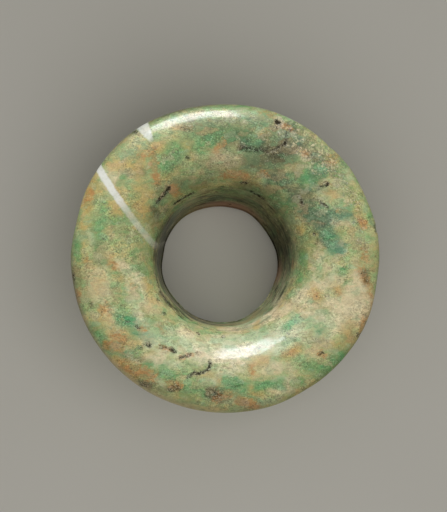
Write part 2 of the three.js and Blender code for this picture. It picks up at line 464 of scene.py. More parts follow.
# %% Marks of the greens
MARKS = {}
MARKS["leaf"] = [
    (14.9, 0.5, 14.5, -4.5, 2.3, 0.8), (26.4, 11.9, 28.1, 7.9, 2.3, 0.6),
    (23.1, 17.5, 23.5, 13.5, 3.2, 0.7), (15.7, 15.1, 18.1, 16.9, 2.9, 1.2),
    (8.5, 11.9, 11.1, 9.9, 3.2, 0.8), (12.9, 26.1, 16.1, 24.9, 2.3, 0.6),
    (4.6, 26.2, 7.2, 25.8, 1.9, 0.8), (1.9, 28.5, 7.9, 28.1, 2, 0.5),
    (1, 21.2, 2.2, 20.8, 1.8, 0.8), (0.9, 23.9, 5.5, 22.5, 3.3, 1),
    # The leaf marks from (-2, 26.8) and (-7, 28.7), along the top of the lip, partly paint shade
    # over the edge of the top highlight.
    (-0.1, 12.9, 6.4, 12.1, 2.9, 0.7), (-2, 26.8, 3.6, 27, 1.6, 0.5),
    (-4.4, 21.8, -1.1, 24.1, 3.4, 1), (-7, 28.7, 5, 29.2, 1.1, 0.8),
    (-14.7, 25.5, -10.1, 27.5, 2.3, 0.6), (-9.1, 15.7, -1.6, 17.3, 2.5, 0.5),
    (-11.6, 17.7, -9.7, 20.5, 3.5, 0.9), (-20.4, 14.3, -19.7, 15.3, 1.3, 1),
    (-23.9, 9.5, -24.5, -0.5, 2.9, 0.7), (-20.9, 6.9, -20.5, 5.5, 2.3, 0.8),
    (-28.6, 2.6, -28.6, 0, 1.6, 0.9), (-18.1, 0.4, -17.5, -1.2, 2.2, 0.7),
    (-20.6, -7.5, -19.1, -10.1, 2.3, 0.6), (-25.5, -14.1, -23.3, -17.9, 2.8, 0.9),
    (-18.6, -13.4, -17.2, -14.6, 1.8, 0.7), (-13.7, -11.9, -11.7, -15.5, 2.8, 0.6),
    (-8.7, -11.7, -6.3, -12.9, 1.7, 0.8), (-15.4, -21.2, -14.6, -20.8, 1.6, 1),
    (-11.9, -22, -9.6, -23.3, 2.9, 0.9), (-8.1, -25.3, -3.5, -25.1, 2.9, 0.9),
    (0.1, -23.9, 3.3, -24.6, 2.5, 0.9), (6.3, -24.6, 10.5, -24.2, 2.2, 1),
    (6, -15.8, 8.4, -15.2, 2.2, 0.5), (13, -24.2, 14.4, -23.8, 1.7, 0.9),
    (15.8, -20.6, 17, -20.8, 2, 1), (11.5, -13.7, 13.9, -11.8, 1.7, 0.8),
    (18.7, -21.7, 22.5, -18.7, 3.2, 0.9), (15.4, -12.6, 18.8, -13.8, 2.4, 0.6),
    (22.5, -2.8, 23, -2.2, 1.4, 1.2),
]
MARKS["teal"] = [
    (19.5, 4.9, 21.7, 2.1, 2.8, 1.2), (19.4, 8.9, 23.3, 8.5, 2.5, 0.9),
    (15.5, 9.5, 18.5, 6.9, 3.6, 1.1), (12.9, 12.3, 15.9, 13.5, 2.7, 0.6),
    (12.7, 21.9, 14.1, 22.5, 2, 0.7), (8.9, 15.7, 11.7, 15.1, 2.8, 0.8),
    (4.1, 22.3, 6.5, 21.9, 2, 0.8), (-21.5, 20.5, -17.7, 18.9, 2.4, 0.45),
    (-20.1, -12.3, -17.9, -12.3, 2.2, 0.7), (-16.9, -13.7, -14.3, -15.9, 2.5, 0.55),
    (-19.9, -18.9, -17.9, -18.9, 2.1, 0.6), (15.9, -13.9, 18.5, -15.3, 3, 0.35),
]
MARKS["emerald"] = [
    (19.8, 4.6, 20.8, 3.2, 2.2, 1), (16.8, 9.2, 18, 7.6, 2.2, 0.9),
    (21.6, 15.6, 22.4, 14.2, 2.2, 0.6), (16.6, 16, 18.4, 16.8, 2.4, 1.2),
    (3, 22.8, 4.6, 22.2, 2, 0.9), (-4.2, 22.2, -2.8, 22.8, 1.9, 0.6),
    (-11, 18.4, -10.6, 17.4, 2.2, 0.7), (-20.8, 20.6, -20.4, 20, 2, 0.8),
    (-15.8, 0.2, -15.4, -1, 1.6, 0.6), (-20.2, -11.8, -18.4, -12.2, 2, 1.3),
    (-24.4, -16.4, -23.8, -17.4, 1.6, 0.5), (-10.2, -22.4, -9.4, -22.8, 1.8, 0.7),
    (1.6, -23.8, 3.2, -23.9, 1.5, 0.7), (6.8, -24.2, 9.2, -23.6, 1.6, 0.9),
    (11.8, -13.4, 13.6, -11.9, 1.4, 0.9), (19.6, -21, 22, -19, 2.2, 0.7),
    (22.6, -2.6, 22.9, -2.2, 1.5, 1.3),
]
print(sum(len(marks) for marks in MARKS.values()), "marks so far")

# %% [markdown]
# ### Olive, and smoke with painted shade
# Olive is green stone with fine dark mineral all through it, much of it round the funnel's
# throat and at the upper right. Smoke is the same mineral as a faint shadow with no clear edge,
# and it lies round most of the black lines. It is also painted shade, which darkens the upper
# side of the stone and the edge of the top highlight on the lip.

# %% Marks of the darker stone
MARKS["olive"] = [
    (25, 4, 27, -1, 3, 0.6), (21.6, 6.2, 24.4, 6, 1.8, 0.5), (13.3, 6.5, 14.9, 0.9, 2.6, 0.6),
    (14.9, 13.3, 20.3, 13.9, 3.2, 0.6), (12, 20, 20, 13, 6, 0.5), (12.9, 24.5, 20.9, 16.9, 4, 0.7),
    (12.4, 26.2, 13.4, 24.6, 1.4, 0.9), (3.9, 14.3, 12.3, 9.5, 3.6, 0.9),
    (2, 21.5, 12, 22.5, 6, 0.75), (1.9, 22.5, 12.9, 20.3, 3.6, 0.8),
    (-3.1, 18.3, 7.9, 18.5, 4.4, 0.8), (-9.1, 25.5, -3.7, 25.5, 2.4, 0.6),
    (-12.7, 13.5, -4.1, 14.7, 3.4, 0.8), (-18.4, 16.4, -16.2, 16.4, 1.9, 1.1),
    (-14.6, 8.6, -13.2, 6, 3, 0.8), (-17.5, 10.3, -13.1, 5.9, 2.8, 0.6),
    (-16.4, 2.6, -15.8, -0.6, 1.8, 0.5), (-28.7, 3.9, -28.9, -6.1, 1.8, 0.5),
    (-27, -2, -26, -7, 3, 0.6), (-28.3, -3, -28, -5.2, 1.8, 0.8),
    (-12.4, -7.4, -11.6, -9, 1.8, 0.6), (-16, -19.6, -14.6, -20.4, 2, 0.7),
    (-15.1, -24.7, -8.1, -26.1, 2, 0.6), (-2.7, -26.7, 1.9, -26.1, 2.6, 0.7),
    (16.5, -15.3, 19.3, -17.1, 2.2, 0.4), (23.6, -15.2, 24.4, -14.8, 1.5, 0.9),
    (25.5, -3.1, 27.6, -4.9, 1.8, 0.4),
]
# Smoke marks are partly painted shade, on the upper side and over the edge of the top highlight.
MARKS["smoke_and_shade"] = [
    (17.5, 5, 19, 2.6, 2.4, 0.6), (15.8, 9.4, 18.4, 7.2, 2.6, 1), (17, 14.6, 19, 13.4, 2.4, 0.6),
    (17, 16.4, 18.2, 16.2, 2.2, 0.9), (15, 22, 18, 19, 3.2, 0.6), (8.4, 14, 9.8, 13.2, 1.8, 0.9),
    (11.1, 21, 12.1, 24.7, 1.1, 1.2), (9, 17.5, 16, 11, 4.4, 0.8), (9, 19, 11, 19.6, 3, 1.3),
    (10, 24, 13, 25.5, 3, 0.8), (6, 19.5, 12, 20.5, 4.6, 1.1), (3, 21.6, 11.1, 20.9, 1.3, 1.3),
    (1, 23.6, 10, 22.6, 5.2, 0.8), (-1, 26, 8, 26.2, 2.8, 0.7), (-6, 25, 10, 24.5, 5, 0.7),
    (-11, 18, -9.5, 18.5, 2.6, 0.6), (-10.8, 13.2, -13.2, 10.8, 1.4, 0.9),
    (-12.6, 10.4, -11.4, 9, 1.8, 0.8), (-14, 9.6, -13, 8.4, 1.4, 1),
    (-24.5, 2, -24, -0.5, 2.6, 0.6), (-10.8, -9, -12.4, -7.2, 1.6, 0.9),
    (-16.2, -24.4, -15, -24.8, 1.6, 1.4), (-10.6, -25.4, -9.4, -25.2, 1.4, 0.5),
    (-2.8, -26.2, -1, -26.6, 2.2, 1.4), (26.8, -2.8, 27.4, -4.4, 1.6, 0.9),
]
print(sum(len(marks) for marks in MARKS.values()), "marks so far")

# %% [markdown]
# ### Cream, and mist with painted sheen
# The pale clouds. Cream is where the crystals are white and warm, much of it at the lower right
# and along the lower side of the bore. Mist is a thin pale veil over the green. On the lower
# side of the stone and round the lower highlight it is also a painted sheen, lighter where the
# light falls.

# %% Marks of the pale clouds
MARKS["cream"] = [
    (17.5, 0.5, 20.7, -3.7, 3.4, 0.6), (22.9, 4.9, 25.9, 3.3, 3.1, 0.3),
    (18.6, 6.5, 18.6, 6.5, 1.1, 0.8), (20.6, 7.5, 20.6, 7.5, 1.1, 0.9),
    (11.2, 24.6, 12.8, 24.2, 0.9, 1.6), (10.2, 27, 11.2, 24.6, 1.4, 1.6),
    (-2.7, 19.1, 1.9, 19.7, 3.9, 0.6), (-17.5, 14.3, -21.5, 16.9, 2.8, 0.5),
    (-22.8, 16.6, -21.4, 15.2, 2.4, 1), (-24, 16, -23.4, 14.6, 1.8, 0.7),
    (-20.6, -1.4, -17.6, -2.8, 1.9, 0.9), (-24.9, -3.3, -23.7, -7.7, 3.6, 0.85),
    (-14.7, -4.1, -14.3, -10.1, 3, 0.7), (-18.4, -5.4, -17.6, -7, 1.8, 0.8),
    (-17.6, -6.6, -16.4, -3.6, 2.4, 0.6), (-22.6, -10.4, -21.6, -10, 1.8, 0.8),
    (-16.4, -11.4, -15.6, -12, 1.6, 0.6), (-21.5, -20.5, -20.7, -21.1, 1.3, 1),
    (-18.4, -19.4, -17.2, -20.4, 1.4, 0.7), (-14.9, -18.7, -12.7, -19.7, 2.2, 0.6),
    (-12.8, -19.4, -11.6, -20.6, 1.9, 0.8), (-8.5, -14.5, -7.1, -14.7, 1.8, 1.1),
    (-4.1, -18.7, 3.9, -19.9, 3.6, 0.8), (-3.1, -25, -2.9, -24.8, 1.3, 0.9),
    (0, -13.8, 9, -11.6, 2.4, 1), (0, -21.4, 3, -21.6, 1.8, 0.7), (1, -14, 12, -9.6, 2.4, 1.2),
    (4, -13.2, 11, -9, 1.6, 1.3), (8, -21.2, 12, -21, 2.8, 0.8), (9.5, -25, 12.5, -24.5, 2.4, 1),
    (15.9, -19.1, 19.5, -15.3, 3.1, 0.5), (9.6, -8.4, 10.6, -7.4, 1.1, 0.7),
    (14, -8, 18, -5.6, 3.4, 1.1), (16.9, -9.5, 21.7, -12.3, 4.5, 0.8),
    (22.3, -8.5, 26.5, -9.3, 6.2, 1.1), (22, -8, 25.6, -5.6, 3, 1.2),
    (27.8, -7.2, 28, -8.8, 1.9, 1.2), (25.9, -3.1, 27.3, -7.1, 2.8, 0.8),
]
# The mist marks on the lower side and round the lower highlight are partly painted sheen.
MARKS["mist_and_sheen"] = [
    (22.2, 1.2, 22.8, 1.6, 1.5, 0.9), (21.4, 7, 24.6, 6.6, 2.4, 0.6),
    (26.6, 10.8, 27.2, 9.6, 1.5, 0.8), (18.8, 12.6, 22, 11.4, 2.6, 0.7),
    (23.4, 17, 24.4, 15.6, 1.6, 0.8), (-23.6, 14.8, -20.6, 10.4, 2, 0.6),
    (-26.2, 4.6, -25.6, 3, 1.6, 0.7), (-17.6, -2.4, -16.2, -8, 3.6, 0.7),
    (-17.8, -8.6, -16.8, -10.8, 2.4, 0.7), (-22.6, -11.6, -21.6, -14, 2.4, 0.8),
    (-16.6, -12.6, -12, -18, 3.4, 0.8), (-12.6, -15.2, -11.4, -16.4, 1.6, 1.1),
    (-12, -15.5, -2, -18.5, 6.5, 0.75), (-14, -20, -10, -20.6, 2.6, 0.8),
    (-15.2, -22.4, -12, -24.2, 1.4, 0.7), (-12.4, -20.8, -11.6, -21.4, 1.7, 1),
    (-6.6, -25.4, -5.4, -25.6, 1.5, 0.8), (-4.6, -23.9, -2.4, -24.2, 1.4, 1.1),
    (-2, -17.5, 6, -16, 6.5, 0.85), (-1.4, -23.2, 0.8, -24.2, 1.5, 0.8),
    (-1, -21.8, 2, -22, 2.4, 0.7), (-1, -22.2, 1, -22.6, 1.5, 1), (4, -12.8, 9, -11, 3, 0.8),
    (9.6, -24.1, 10.9, -24, 1.9, 1.4), (10, -18, 12.4, -16.6, 1.9, 1), (9, -15, 20, -12.5, 6, 0.8),
    (20, -12, 26, -11, 4.5, 0.7), (22, -11.6, 25, -7.6, 3, 0.7), (18, -2, 20, 2, 4, 0.5),
]
print(sum(len(marks) for marks in MARKS.values()), "marks so far")

# %% [markdown]
# ### Ochre and rust
# Iron came in along cracks and stained the stone. Ochre is its thin, broad stain. Rust is where
# it is thick, in small spots, and the largest of them lie along the lower left of the rim.

# %% Marks of iron
MARKS["ochre"] = [
    (21.5, 4.7, 24.5, 5.9, 2.2, 0.6), (26.1, 11.3, 25.3, 8.9, 2.2, 0.8),
    (14.7, 9.3, 14.9, 5.7, 2.2, 0.9), (19.9, 13.3, 21.1, 11.3, 2.4, 0.8),
    (20.4, 19.8, 21.4, 19.2, 1.6, 0.9), (6.3, 24.7, 8.1, 24.1, 2.2, 0.7),
    (0.5, 15.9, 6.3, 15.5, 2.4, 0.7), (-5.1, 27.8, 3.9, 28.1, 1.7, 0.5),
    (-8.4, 22.2, -6, 22.2, 2.4, 0.7), (-9.7, 24.3, -5.7, 25.1, 2.5, 0.7),
    (-7.5, 18.7, -6.1, 19.9, 2.1, 0.6), (-13.8, 21.2, -12.4, 21, 1.7, 1),
    (-11.6, 15.6, -9.6, 17, 1.9, 0.7), (-17.6, 16.6, -16, 18, 2.2, 0.8),
    (-16.5, 13.5, -16.3, 9.5, 3.8, 1), (-22.7, 17.5, -17.7, 17.7, 2.8, 0.9),
    (-21.4, 12.8, -19.6, 10.4, 1.7, 0.8), (-25.6, 14.4, -24.2, 12.4, 2.4, 0.9),
    (-26.3, 13.3, -26.7, 10.1, 2.7, 1.1), (-22.2, 10.4, -20.8, 8.6, 2.4, 1),
    (-27.3, 5.9, -27.7, -0.1, 2.5, 0.6), (-22.1, 1.3, -24.5, 1.3, 2.8, 0.5),
    (-24.8, -2.6, -24, -6.4, 3, 0.7), (-15.2, -4.6, -14.2, -8.6, 2.4, 0.6),
    (-21.7, -14.3, -23.7, -10.7, 3.1, 0.7), (-21, -20, -19.4, -20.6, 2, 1),
    (-19.4, -20.8, -17.2, -22.2, 2.2, 1.1), (-9, -26.6, -6, -26.4, 2.4, 0.9),
    (5, -26.2, 7, -26, 1.6, 0.8), (5.2, -25.6, 6.6, -25.7, 1.6, 1.3),
    (3.9, -14.5, -1.1, -14.9, 1.4, 0.6), (5.3, -19.7, 7.3, -19.9, 2.4, 0.8),
    (12.1, -18.7, 13.7, -17.5, 2.5, 0.9), (18.5, -23.1, 11.9, -26.7, 2.2, 0.5),
    (9.7, -9.9, 5.9, -13.5, 1.5, 0.9), (24.3, -13.3, 22.3, -16.7, 3.1, 0.8),
    (12.3, -6.1, 10.5, -9.3, 1.5, 0.8), (17.2, -7, 17.8, -7.4, 2.4, 0.8),
    (21.4, -6.2, 22, -6.6, 2.4, 0.9),
]
MARKS["rust"] = [
    (26.9, 1.3, 27.1, -0.1, 1.5, 0.6), (26.3, 7.1, 26.7, 6.7, 1.6, 1.1),
    (21.6, 9.5, 22, 9.1, 1.2, 0.5), (20.4, 18.4, 20.8, 18.4, 1.5, 0.9),
    (15.4, 20.4, 15.5, 20.3, 1.2, 1), (11.3, 25.8, 12.5, 25.1, 1.1, 1.1),
    (7.3, 16.7, 8.1, 16.1, 1.2, 0.7), (6.5, 24.1, 7.3, 24.7, 1.1, 0.6),
    (6.9, 28.3, 9.3, 27.5, 1.4, 0.6), (-0.1, 16.1, 4.1, 15.7, 1.8, 0.8),
    (-1.9, 20.9, -0.7, 22.1, 1.4, 0.8), (-14.3, 20.5, -13.5, 14.7, 1.8, 0.9),
    (-9.9, 13.3, -9.3, 12.5, 1.6, 0.9), (-16.5, 20.1, -15.9, 19.5, 1.4, 0.8),
    (-26.1, 12.3, -26.9, 10.7, 1.8, 0.8), (-27, -0.3, -26.3, -0.7, 1.4, 0.5),
    (-22, -1, -21.3, -1.9, 1.6, 0.8), (-28.4, -6.7, -28.4, -8.7, 1.4, 0.9),
    (-18, -5.6, -17.7, -5.9, 1.2, 0.8), (-23.3, -9.7, -22.3, -10.5, 2, 0.7),
    (-20.9, -15.1, -19.7, -16.3, 2.3, 0.9), (-22.7, -17.1, -20.5, -17.5, 1.8, 1.1),
    (-16.1, -13.7, -15.5, -14.1, 1.2, 0.8), (-12.6, -13.3, -12.1, -13.8, 1.2, 0.6),
    (-19.5, -20.8, -14.3, -22.9, 2.1, 1), (-10.5, -17.9, -12.5, -17.1, 0.9, 0.8),
    (-8.5, -19.2, -6.5, -18.8, 0.9, 0.8), (-10.7, -24.2, -9.1, -24.5, 1.6, 0.9),
    (-4.6, -14.6, -3.2, -14.8, 1.5, 1.4), (-1.9, -27.3, 0.5, -26.3, 1.5, 0.9),
    (-1, -21.9, -1.3, -24.5, 1.1, 0.5), (2.9, -27.4, 6.1, -28.5, 1.6, 1.1),
    (4.7, -20.9, 5.1, -22.1, 1.2, 0.85), (12.5, -18.5, 13.1, -17.9, 1.4, 0.6),
    (18.2, -18.3, 19.1, -18.7, 1.2, 0.9), (26.8, -12.3, 26.5, -13.7, 1.5, 0.9),
    (17.5, -7.2, 17.5, -7.2, 1.7, 0.7), (21.7, -6.4, 21.7, -6.4, 1.6, 0.75),
    (28.5, -7.5, 28.1, -10.5, 1.4, 0.5), (28, -5.6, 28.4, -6.6, 1.4, 0.7),
    (26.2, -2.4, 27.6, -4.8, 1.8, 0.8), (13.1, -0.7, 13.1, -1.7, 1.1, 0.8),
]
print(sum(len(marks) for marks in MARKS.values()), "marks so far")

# %% [markdown]
# ### Soot and the coarse patch
# Black mineral fills short winding cracks and lies in small blots. The coarse patch at the upper
# right is no mineral, but its crumbs and its dull polish need to know where they are, and that
# is stored in the same way.

# %% Marks of the black lines and of the coarse patch
MARKS["soot"] = [
    (17.9, 3.5, 17.5, 2.7, 0.8, 0.6), (29.1, 6.3, 29.2, 5.3, 0.7, 1),
    (17.2, 4.7, 17.3, 4.6, 0.5, 1.7), (20.6, 7.5, 20.6, 7.5, 0.5, 0.9),
    (18.3, 10.8, 19.6, 10, 0.5, 1.4), (19.6, 14, 20, 14.6, 0.5, 1.5),
    (14.7, 10.9, 15, 10.4, 0.6, 1.5), (17.9, 13.5, 19.5, 14.5, 0.8, 0.8),
    (14.3, 12.2, 14.8, 10.8, 0.6, 1.2), (9, 15.4, 13.4, 11.6, 0.7, 0.6),
    (11.4, 22.2, 11.5, 22.4, 0.6, 1.8), (12.4, 25, 12.6, 24.7, 0.5, 1.4),
    (12, 24.4, 11.8, 23.2, 0.55, 1.1), (9.5, 20.1, 10.9, 19.7, 2, 0.6),
    (9.1, 20.7, 11.5, 22.3, 0.55, 1.15), (5.1, 12.9, 7.5, 11.5, 0.55, 1.5),
    (10, 26.4, 10.3, 26.2, 0.8, 1.9), (9.6, 25.8, 9.8, 25.4, 0.5, 1.3),
    (3.1, 14.7, 4.3, 14.5, 0.5, 1.4), (3.6, 21.5, 6.3, 21, 0.6, 1.35),
    (2.8, 21.4, 8.8, 20.8, 1.2, 0.7), (-8.1, 25.1, -6.5, 24.8, 1.5, 0.6),
    (-7.5, 19.4, -7.2, 19.2, 0.7, 0.9), (-6.3, 12.5, -9.9, 10.4, 0.6, 1.5),
    (-18, 23.9, -17.1, 24.2, 0.9, 1), (-10.7, 13.4, -13.2, 10.8, 0.65, 1.5),
    (-29.3, -3.4, -29.2, -4.1, 0.9, 1.1), (-13.5, -3.4, -12.6, -6.6, 0.8, 0.85),
    (-25.9, -9, -25.7, -9.5, 1.1, 0.6), (-12.6, -6.6, -10.8, -9.4, 0.8, 0.95),
    (-13.1, -8.2, -11, -11, 0.7, 0.8), (-19, -12.3, -18.6, -12.4, 0.7, 0.9),
    (-16.9, -13.3, -16.8, -13.7, 0.8, 0.9), (-10.8, -9.4, -8.4, -11.6, 0.8, 0.8),
    (-12.2, -10.7, -11.8, -11.1, 0.8, 1), (-11, -11, -8.1, -13.3, 0.7, 0.75),
    (-16.7, -17.7, -15.1, -16.7, 0.7, 0.8), (-14.9, -16.5, -14.6, -16.8, 0.8, 1.3),
    (-12.5, -17.1, -11.5, -17.5, 0.7, 1), (-16, -24.5, -15.2, -24.8, 0.9, 0.8),
    (-10.5, -17.7, -9.9, -18, 0.8, 1.2), (-8.7, -19.3, -6.9, -18.8, 0.65, 1.2),
    (-10.9, -25.5, -9.9, -25.3, 1.1, 0.8), (-9.7, -24.7, -8.9, -25.3, 0.8, 0.9),
    (-5.4, -14.7, -5.1, -14.9, 0.7, 1), (-7.1, -23, -5.7, -22.1, 0.6, 1.4),
    (-5.5, -18.6, -5.1, -18.7, 0.7, 0.8), (-5.7, -22.5, -3.5, -21.7, 0.6, 1.4),
    (-3.3, -21.5, -2.9, -20.1, 0.65, 1.35), (-3.3, -26.1, -1.5, -26.5, 1.8, 0.7),
    (-0.8, -15.3, -0.4, -15.4, 0.7, 1.1), (0.5, -24.7, 2.9, -24.5, 1.4, 0.5),
    (17.9, -18.6, 18.9, -18.2, 0.6, 0.8), (16.9, -15.7, 17.9, -16.1, 1.6, 0.45),
    (25.8, -14.6, 26.1, -15.1, 0.9, 1.1), (17.5, -7.3, 17.6, -7.4, 0.5, 0.7),
    (26.8, -2.8, 27.4, -4.4, 1.4, 0.55),
]
MARKS["coarse"] = [
    (24.7, 7.9, 27.3, 1.9, 2.2, 0.5), (20.5, 18.3, 24.9, 10.9, 2.6, 0.7),
    (13.5, 24.3, 20.5, 18.3, 4.6, 1), (10.5, 26.5, 11.9, 24.9, 1.6, 0.9),
]
print(sum(len(marks) for marks in MARKS.values()), "marks so far")

# %% [markdown]
# ### From marks to amounts
# Where marks of one mineral overlap, the larger amount counts, so that a cloud doesn't grow
# darker at its joints. The back, the stem and the bore can't be seen in the photograph. They
# are given the same minerals by chance, or the stone would look bare from behind.

# %% Strokes that are drawn by chance
# How many strokes of each mineral are drawn by chance, in the order in which they are drawn.
HIDDEN_MARKS = {
    "leaf": 30, "teal": 14, "emerald": 12, "olive": 24, "cream": 26, "mist_and_sheen": 10, "ochre": 30,
    "rust": 44, "soot": 60,
}
SPOTS = ("rust", "soot")  # short and small; the others are broad clouds
CLOUD_LENGTH, CLOUD_REACHES = 1.2 * MM, (1.4, 3.2)
SPOT_LENGTH, SPOT_REACHES = 0.4 * MM, (0.6, 1.3)
HIDDEN_AMOUNTS = (0.6, 1.0)
mark_draw = np.random.default_rng(23)


def stroke(points, start, end, reach):
    """One along the line between two places, fading smoothly to nothing at the reach."""
    line = end - start
    length = float(line @ line)
    share = np.clip((points - start) @ line / length, 0, 1) if length else np.zeros(len(points))
    return hollow(points, start + share[:, None] * line, reach)


def hidden_stroke(points, mineral):
    """A stroke somewhere on the back, the stem or the bore, which the photograph hides."""
    low = np.nonzero(points[:, 2] < BACK_HEIGHT)[0]
    start = points[mark_draw.choice(low)]
    spot = mineral in SPOTS
    end = start + mark_draw.normal(0, SPOT_LENGTH if spot else CLOUD_LENGTH, 3)
    reach = mark_draw.uniform(*(SPOT_REACHES if spot else CLOUD_REACHES)) * MM
    return mark_draw.uniform(*HIDDEN_AMOUNTS) * stroke(points, start, end, reach)


# %% Work out each mineral's amount at each point
COVERED = 0.3  # the amount from which a mineral can be seen

amounts = {mineral: np.zeros(len(stone_points)) for mineral in MARKS}
for mineral, marks in MARKS.items():
    for right, up, end_right, end_up, reach, middle in marks:
        start, end = front.find(right, up), front.find(end_right, end_up)
        seen = middle * stroke(stone_points, start, end, reach * MM)
        amounts[mineral] = np.maximum(amounts[mineral], seen)
for mineral, count in HIDDEN_MARKS.items():
    for _ in range(count):
        amounts[mineral] = np.maximum(amounts[mineral], hidden_stroke(stone_points, mineral))
for mineral, amount in amounts.items():
    print(mineral, "covers", round(float((amount > COVERED).mean()) * 100), "% of the points")

# %% [markdown]
# ## Crumbs of the coarse patch
# In the coarse patch the polish broke up into crumbs a little under a millimetre wide, with gaps
# between them. A Voronoi pattern splits space into such cells: near a wall between two cells
# their two middles are equally far, and there the surface is let down. Remeshing the patch
# would do it too, but this keeps the mesh as it is. Blender's noise vector starts from the clock
# unless it is given a seed, and then the crumbs would lie elsewhere each time.

# %% Raise the crumbs
CRUMB_RISE = 0.12 * MM
CRUMBS_PER_MM = 1.15
CRUMB_LEVEL = 0.8  # how much of a crumb's height is sunk below the surface
CRUMB_SLOPE = 2.2  # how fast a crumb rises from its gap
CRUMB_JOSTLE = (0.35, 1.3)  # how far crumbs are pushed out of their lattice, and how finely
COARSE_FROM = 0.05  # the amount from which the patch is coarse
CRUMB_SEED = 4


def crumbs(points, coarse):
    """Nothing in the gaps between the crumbs, and up to one on top of them."""
    heights = np.zeros(len(points))
    push, fineness = CRUMB_JOSTLE
    for number in np.nonzero(coarse > COARSE_FROM)[0]:
        place = Vector(points[number] / MM * CRUMBS_PER_MM)
        place += push * noise.noise_vector(place * fineness)
        nearest, second = noise.voronoi(place)[0][:2]
        heights[number] = min(1.0, CRUMB_SLOPE * (second - nearest))
    return heights


noise.seed_set(CRUMB_SEED)
lift = CRUMB_RISE * amounts["coarse"] * (crumbs(stone_points, amounts["coarse"]) - CRUMB_LEVEL)
stone_points += stone_normals * lift[:, None]
write_points(stone_mesh, stone_points)
print("the highest crumb stands", round(lift.max() / MM, 3), "mm above the polish")

# %% [markdown]
# ## Soil, painted shade and a painted highlight
# Soil stayed where no cloth could reach it, in the bore, and there it is partly painted shade:
# it comes out furthest at the upper right, the side of the funnel turned from the lamp, and it
# lies thickest on the bore's grazing side walls. Behind the widest circle, the edge that turns
# away from the light has a brown painted shade, and at the lower left a cream painted highlight
# instead. The far edge of the bore is painted black as shade.
# Each stain follows the section, so a radius or a height limits it, and a list of stretches says
# how far round it goes. Weight painting is the way by hand; here the numbers of the section do
# it, and stay true when the section changes.

# %% Where the stains, the painted shade and the painted highlight lie
# The soil is partly painted shade. It leans to the side of the funnel turned from the lamp.
SOIL_AND_SHADE_REACH = 14.2 * MM
SOIL_AND_SHADE_LEAN = 2.4 * MM  # how much further the soil reaches on the side it leans to
SOIL_AND_SHADE_LEAN_TOWARDS = 35
SOIL_AND_SHADE_FADE = 3.6 * MM
BORE_FADE = (BORE_MOUTH_RADIUS, BORE_MOUTH_RADIUS + 1.5 * MM)
THROAT_FADE = (BORE_MOUTH_RADIUS + 0.8 * MM, BORE_MOUTH_RADIUS + 2.6 * MM)
WALL_FADE = (BORE_MOUTH_HEIGHT - 1.5 * MM, BORE_MOUTH_HEIGHT)
RIM_OUTWARD = (RIM_RADIUS - 3.0 * MM, RIM_RADIUS - 1.0 * MM)
RIM_UPWARD = (RIM_HEIGHT - 2.5 * MM, RIM_HEIGHT - 1.0 * MM)
RIM_OVER = (RIM_HEIGHT + 0.5 * MM, RIM_HEIGHT + 1.5 * MM)

# Deep soil on the side walls, the shaded edge and the brown rim shade are painted shade; the rim
# highlight is a painted highlight.
# Degrees from +X: the middle of a stretch, its span and the amount in its middle.
DEEP_SOIL_AND_SHADE_AT = [(14, 76, 0.8), (164, 120, 1.2), (212, 70, 0.6), (246, 60, 0.45)]
NEAR_WALL_AT = [(240, 170, 1.1)]
RED_SOIL_AT = [(80, 110, 1.0), (352, 40, 0.7)]
SHADED_EDGE_AT = [(20, 110, 1.0), (75, 90, 0.6), (165, 110, 0.8)]
LINED_AT = [(222, 150, 1.2), (95, 150, 0.9)]
BROWN_RIM_SHADE_AT = [(28, 110, 0.25), (108, 110, 0.9), (190, 60, 0.7)]
RIM_HIGHLIGHT_AT = [(238, 130, 1.0)]


# %% Work out the stains and the painted light, and store everything with the points
def stretches(points, marks):
    return np.clip(round_the_axis(points, marks), 0, 1)


def soil_and_shade_in_bore(points):
    """Full deep in the bore, partly soil and partly painted shade; it reaches furthest out on one
    side.
    """
    angle = np.arctan2(points[:, 1], points[:, 0]) - math.radians(SOIL_AND_SHADE_LEAN_TOWARDS)
    reach = SOIL_AND_SHADE_REACH + SOIL_AND_SHADE_LEAN * np.cos(angle)
    return fade_out(distance_from_axis(points), reach - SOIL_AND_SHADE_FADE, reach)


def stains_and_painted_light(points):
    """Each stain's, painted shade's and painted highlight's amount at each point, by its name."""
    radius, height = distance_from_axis(points), points[:, 2]
    in_bore = fade_out(radius, *BORE_FADE)
    throat = fade_out(radius, *THROAT_FADE)
    near_wall = in_bore * fade_out(height, *WALL_FADE) * stretches(points, NEAR_WALL_AT)
    near_rim = fade_in(radius, *RIM_OUTWARD) * fade_in(height, *RIM_UPWARD)
    near_rim *= fade_out(height, *RIM_OVER)
    return {
        "soil_and_shade": soil_and_shade_in_bore(points),
        "deep_soil_and_shade": np.maximum(in_bore * stretches(points, DEEP_SOIL_AND_SHADE_AT), near_wall),
        "red_soil": in_bore * stretches(points, RED_SOIL_AT),
        "shaded_edge": in_bore * stretches(points, SHADED_EDGE_AT),
        "lined": throat * stretches(points, LINED_AT),
        "brown_rim_shade": near_rim * stretches(points, BROWN_RIM_SHADE_AT),
        "painted_rim_highlight": near_rim * stretches(points, RIM_HIGHLIGHT_AT),
    }


amounts.update(stains_and_painted_light(stone_points), rings=rings)
for name, amount in amounts.items():
    layer = stone_mesh.attributes.new(name, "FLOAT", "POINT")
    layer.data.foreach_set("value", amount.astype(np.float32))
print("stored", len(amounts), "attributes with the points")

# %% [markdown]
# ## The stone's material
# Polished greenstone has three things to see: a colour that changes through it in clouds and
# grains, a hard gloss with pinholes, and a little light that enters and comes out again. In the
# editor the nodes would be laid out and linked by hand. A node tree in code grows long, so one
# helper adds a node and links or types its inputs, and short names stand for the usual ones.
#
# A ramp below reads: this value, from so much to so much, gives a share from so much to so
# much. Where only two numbers follow the value, the share goes from nothing to one.


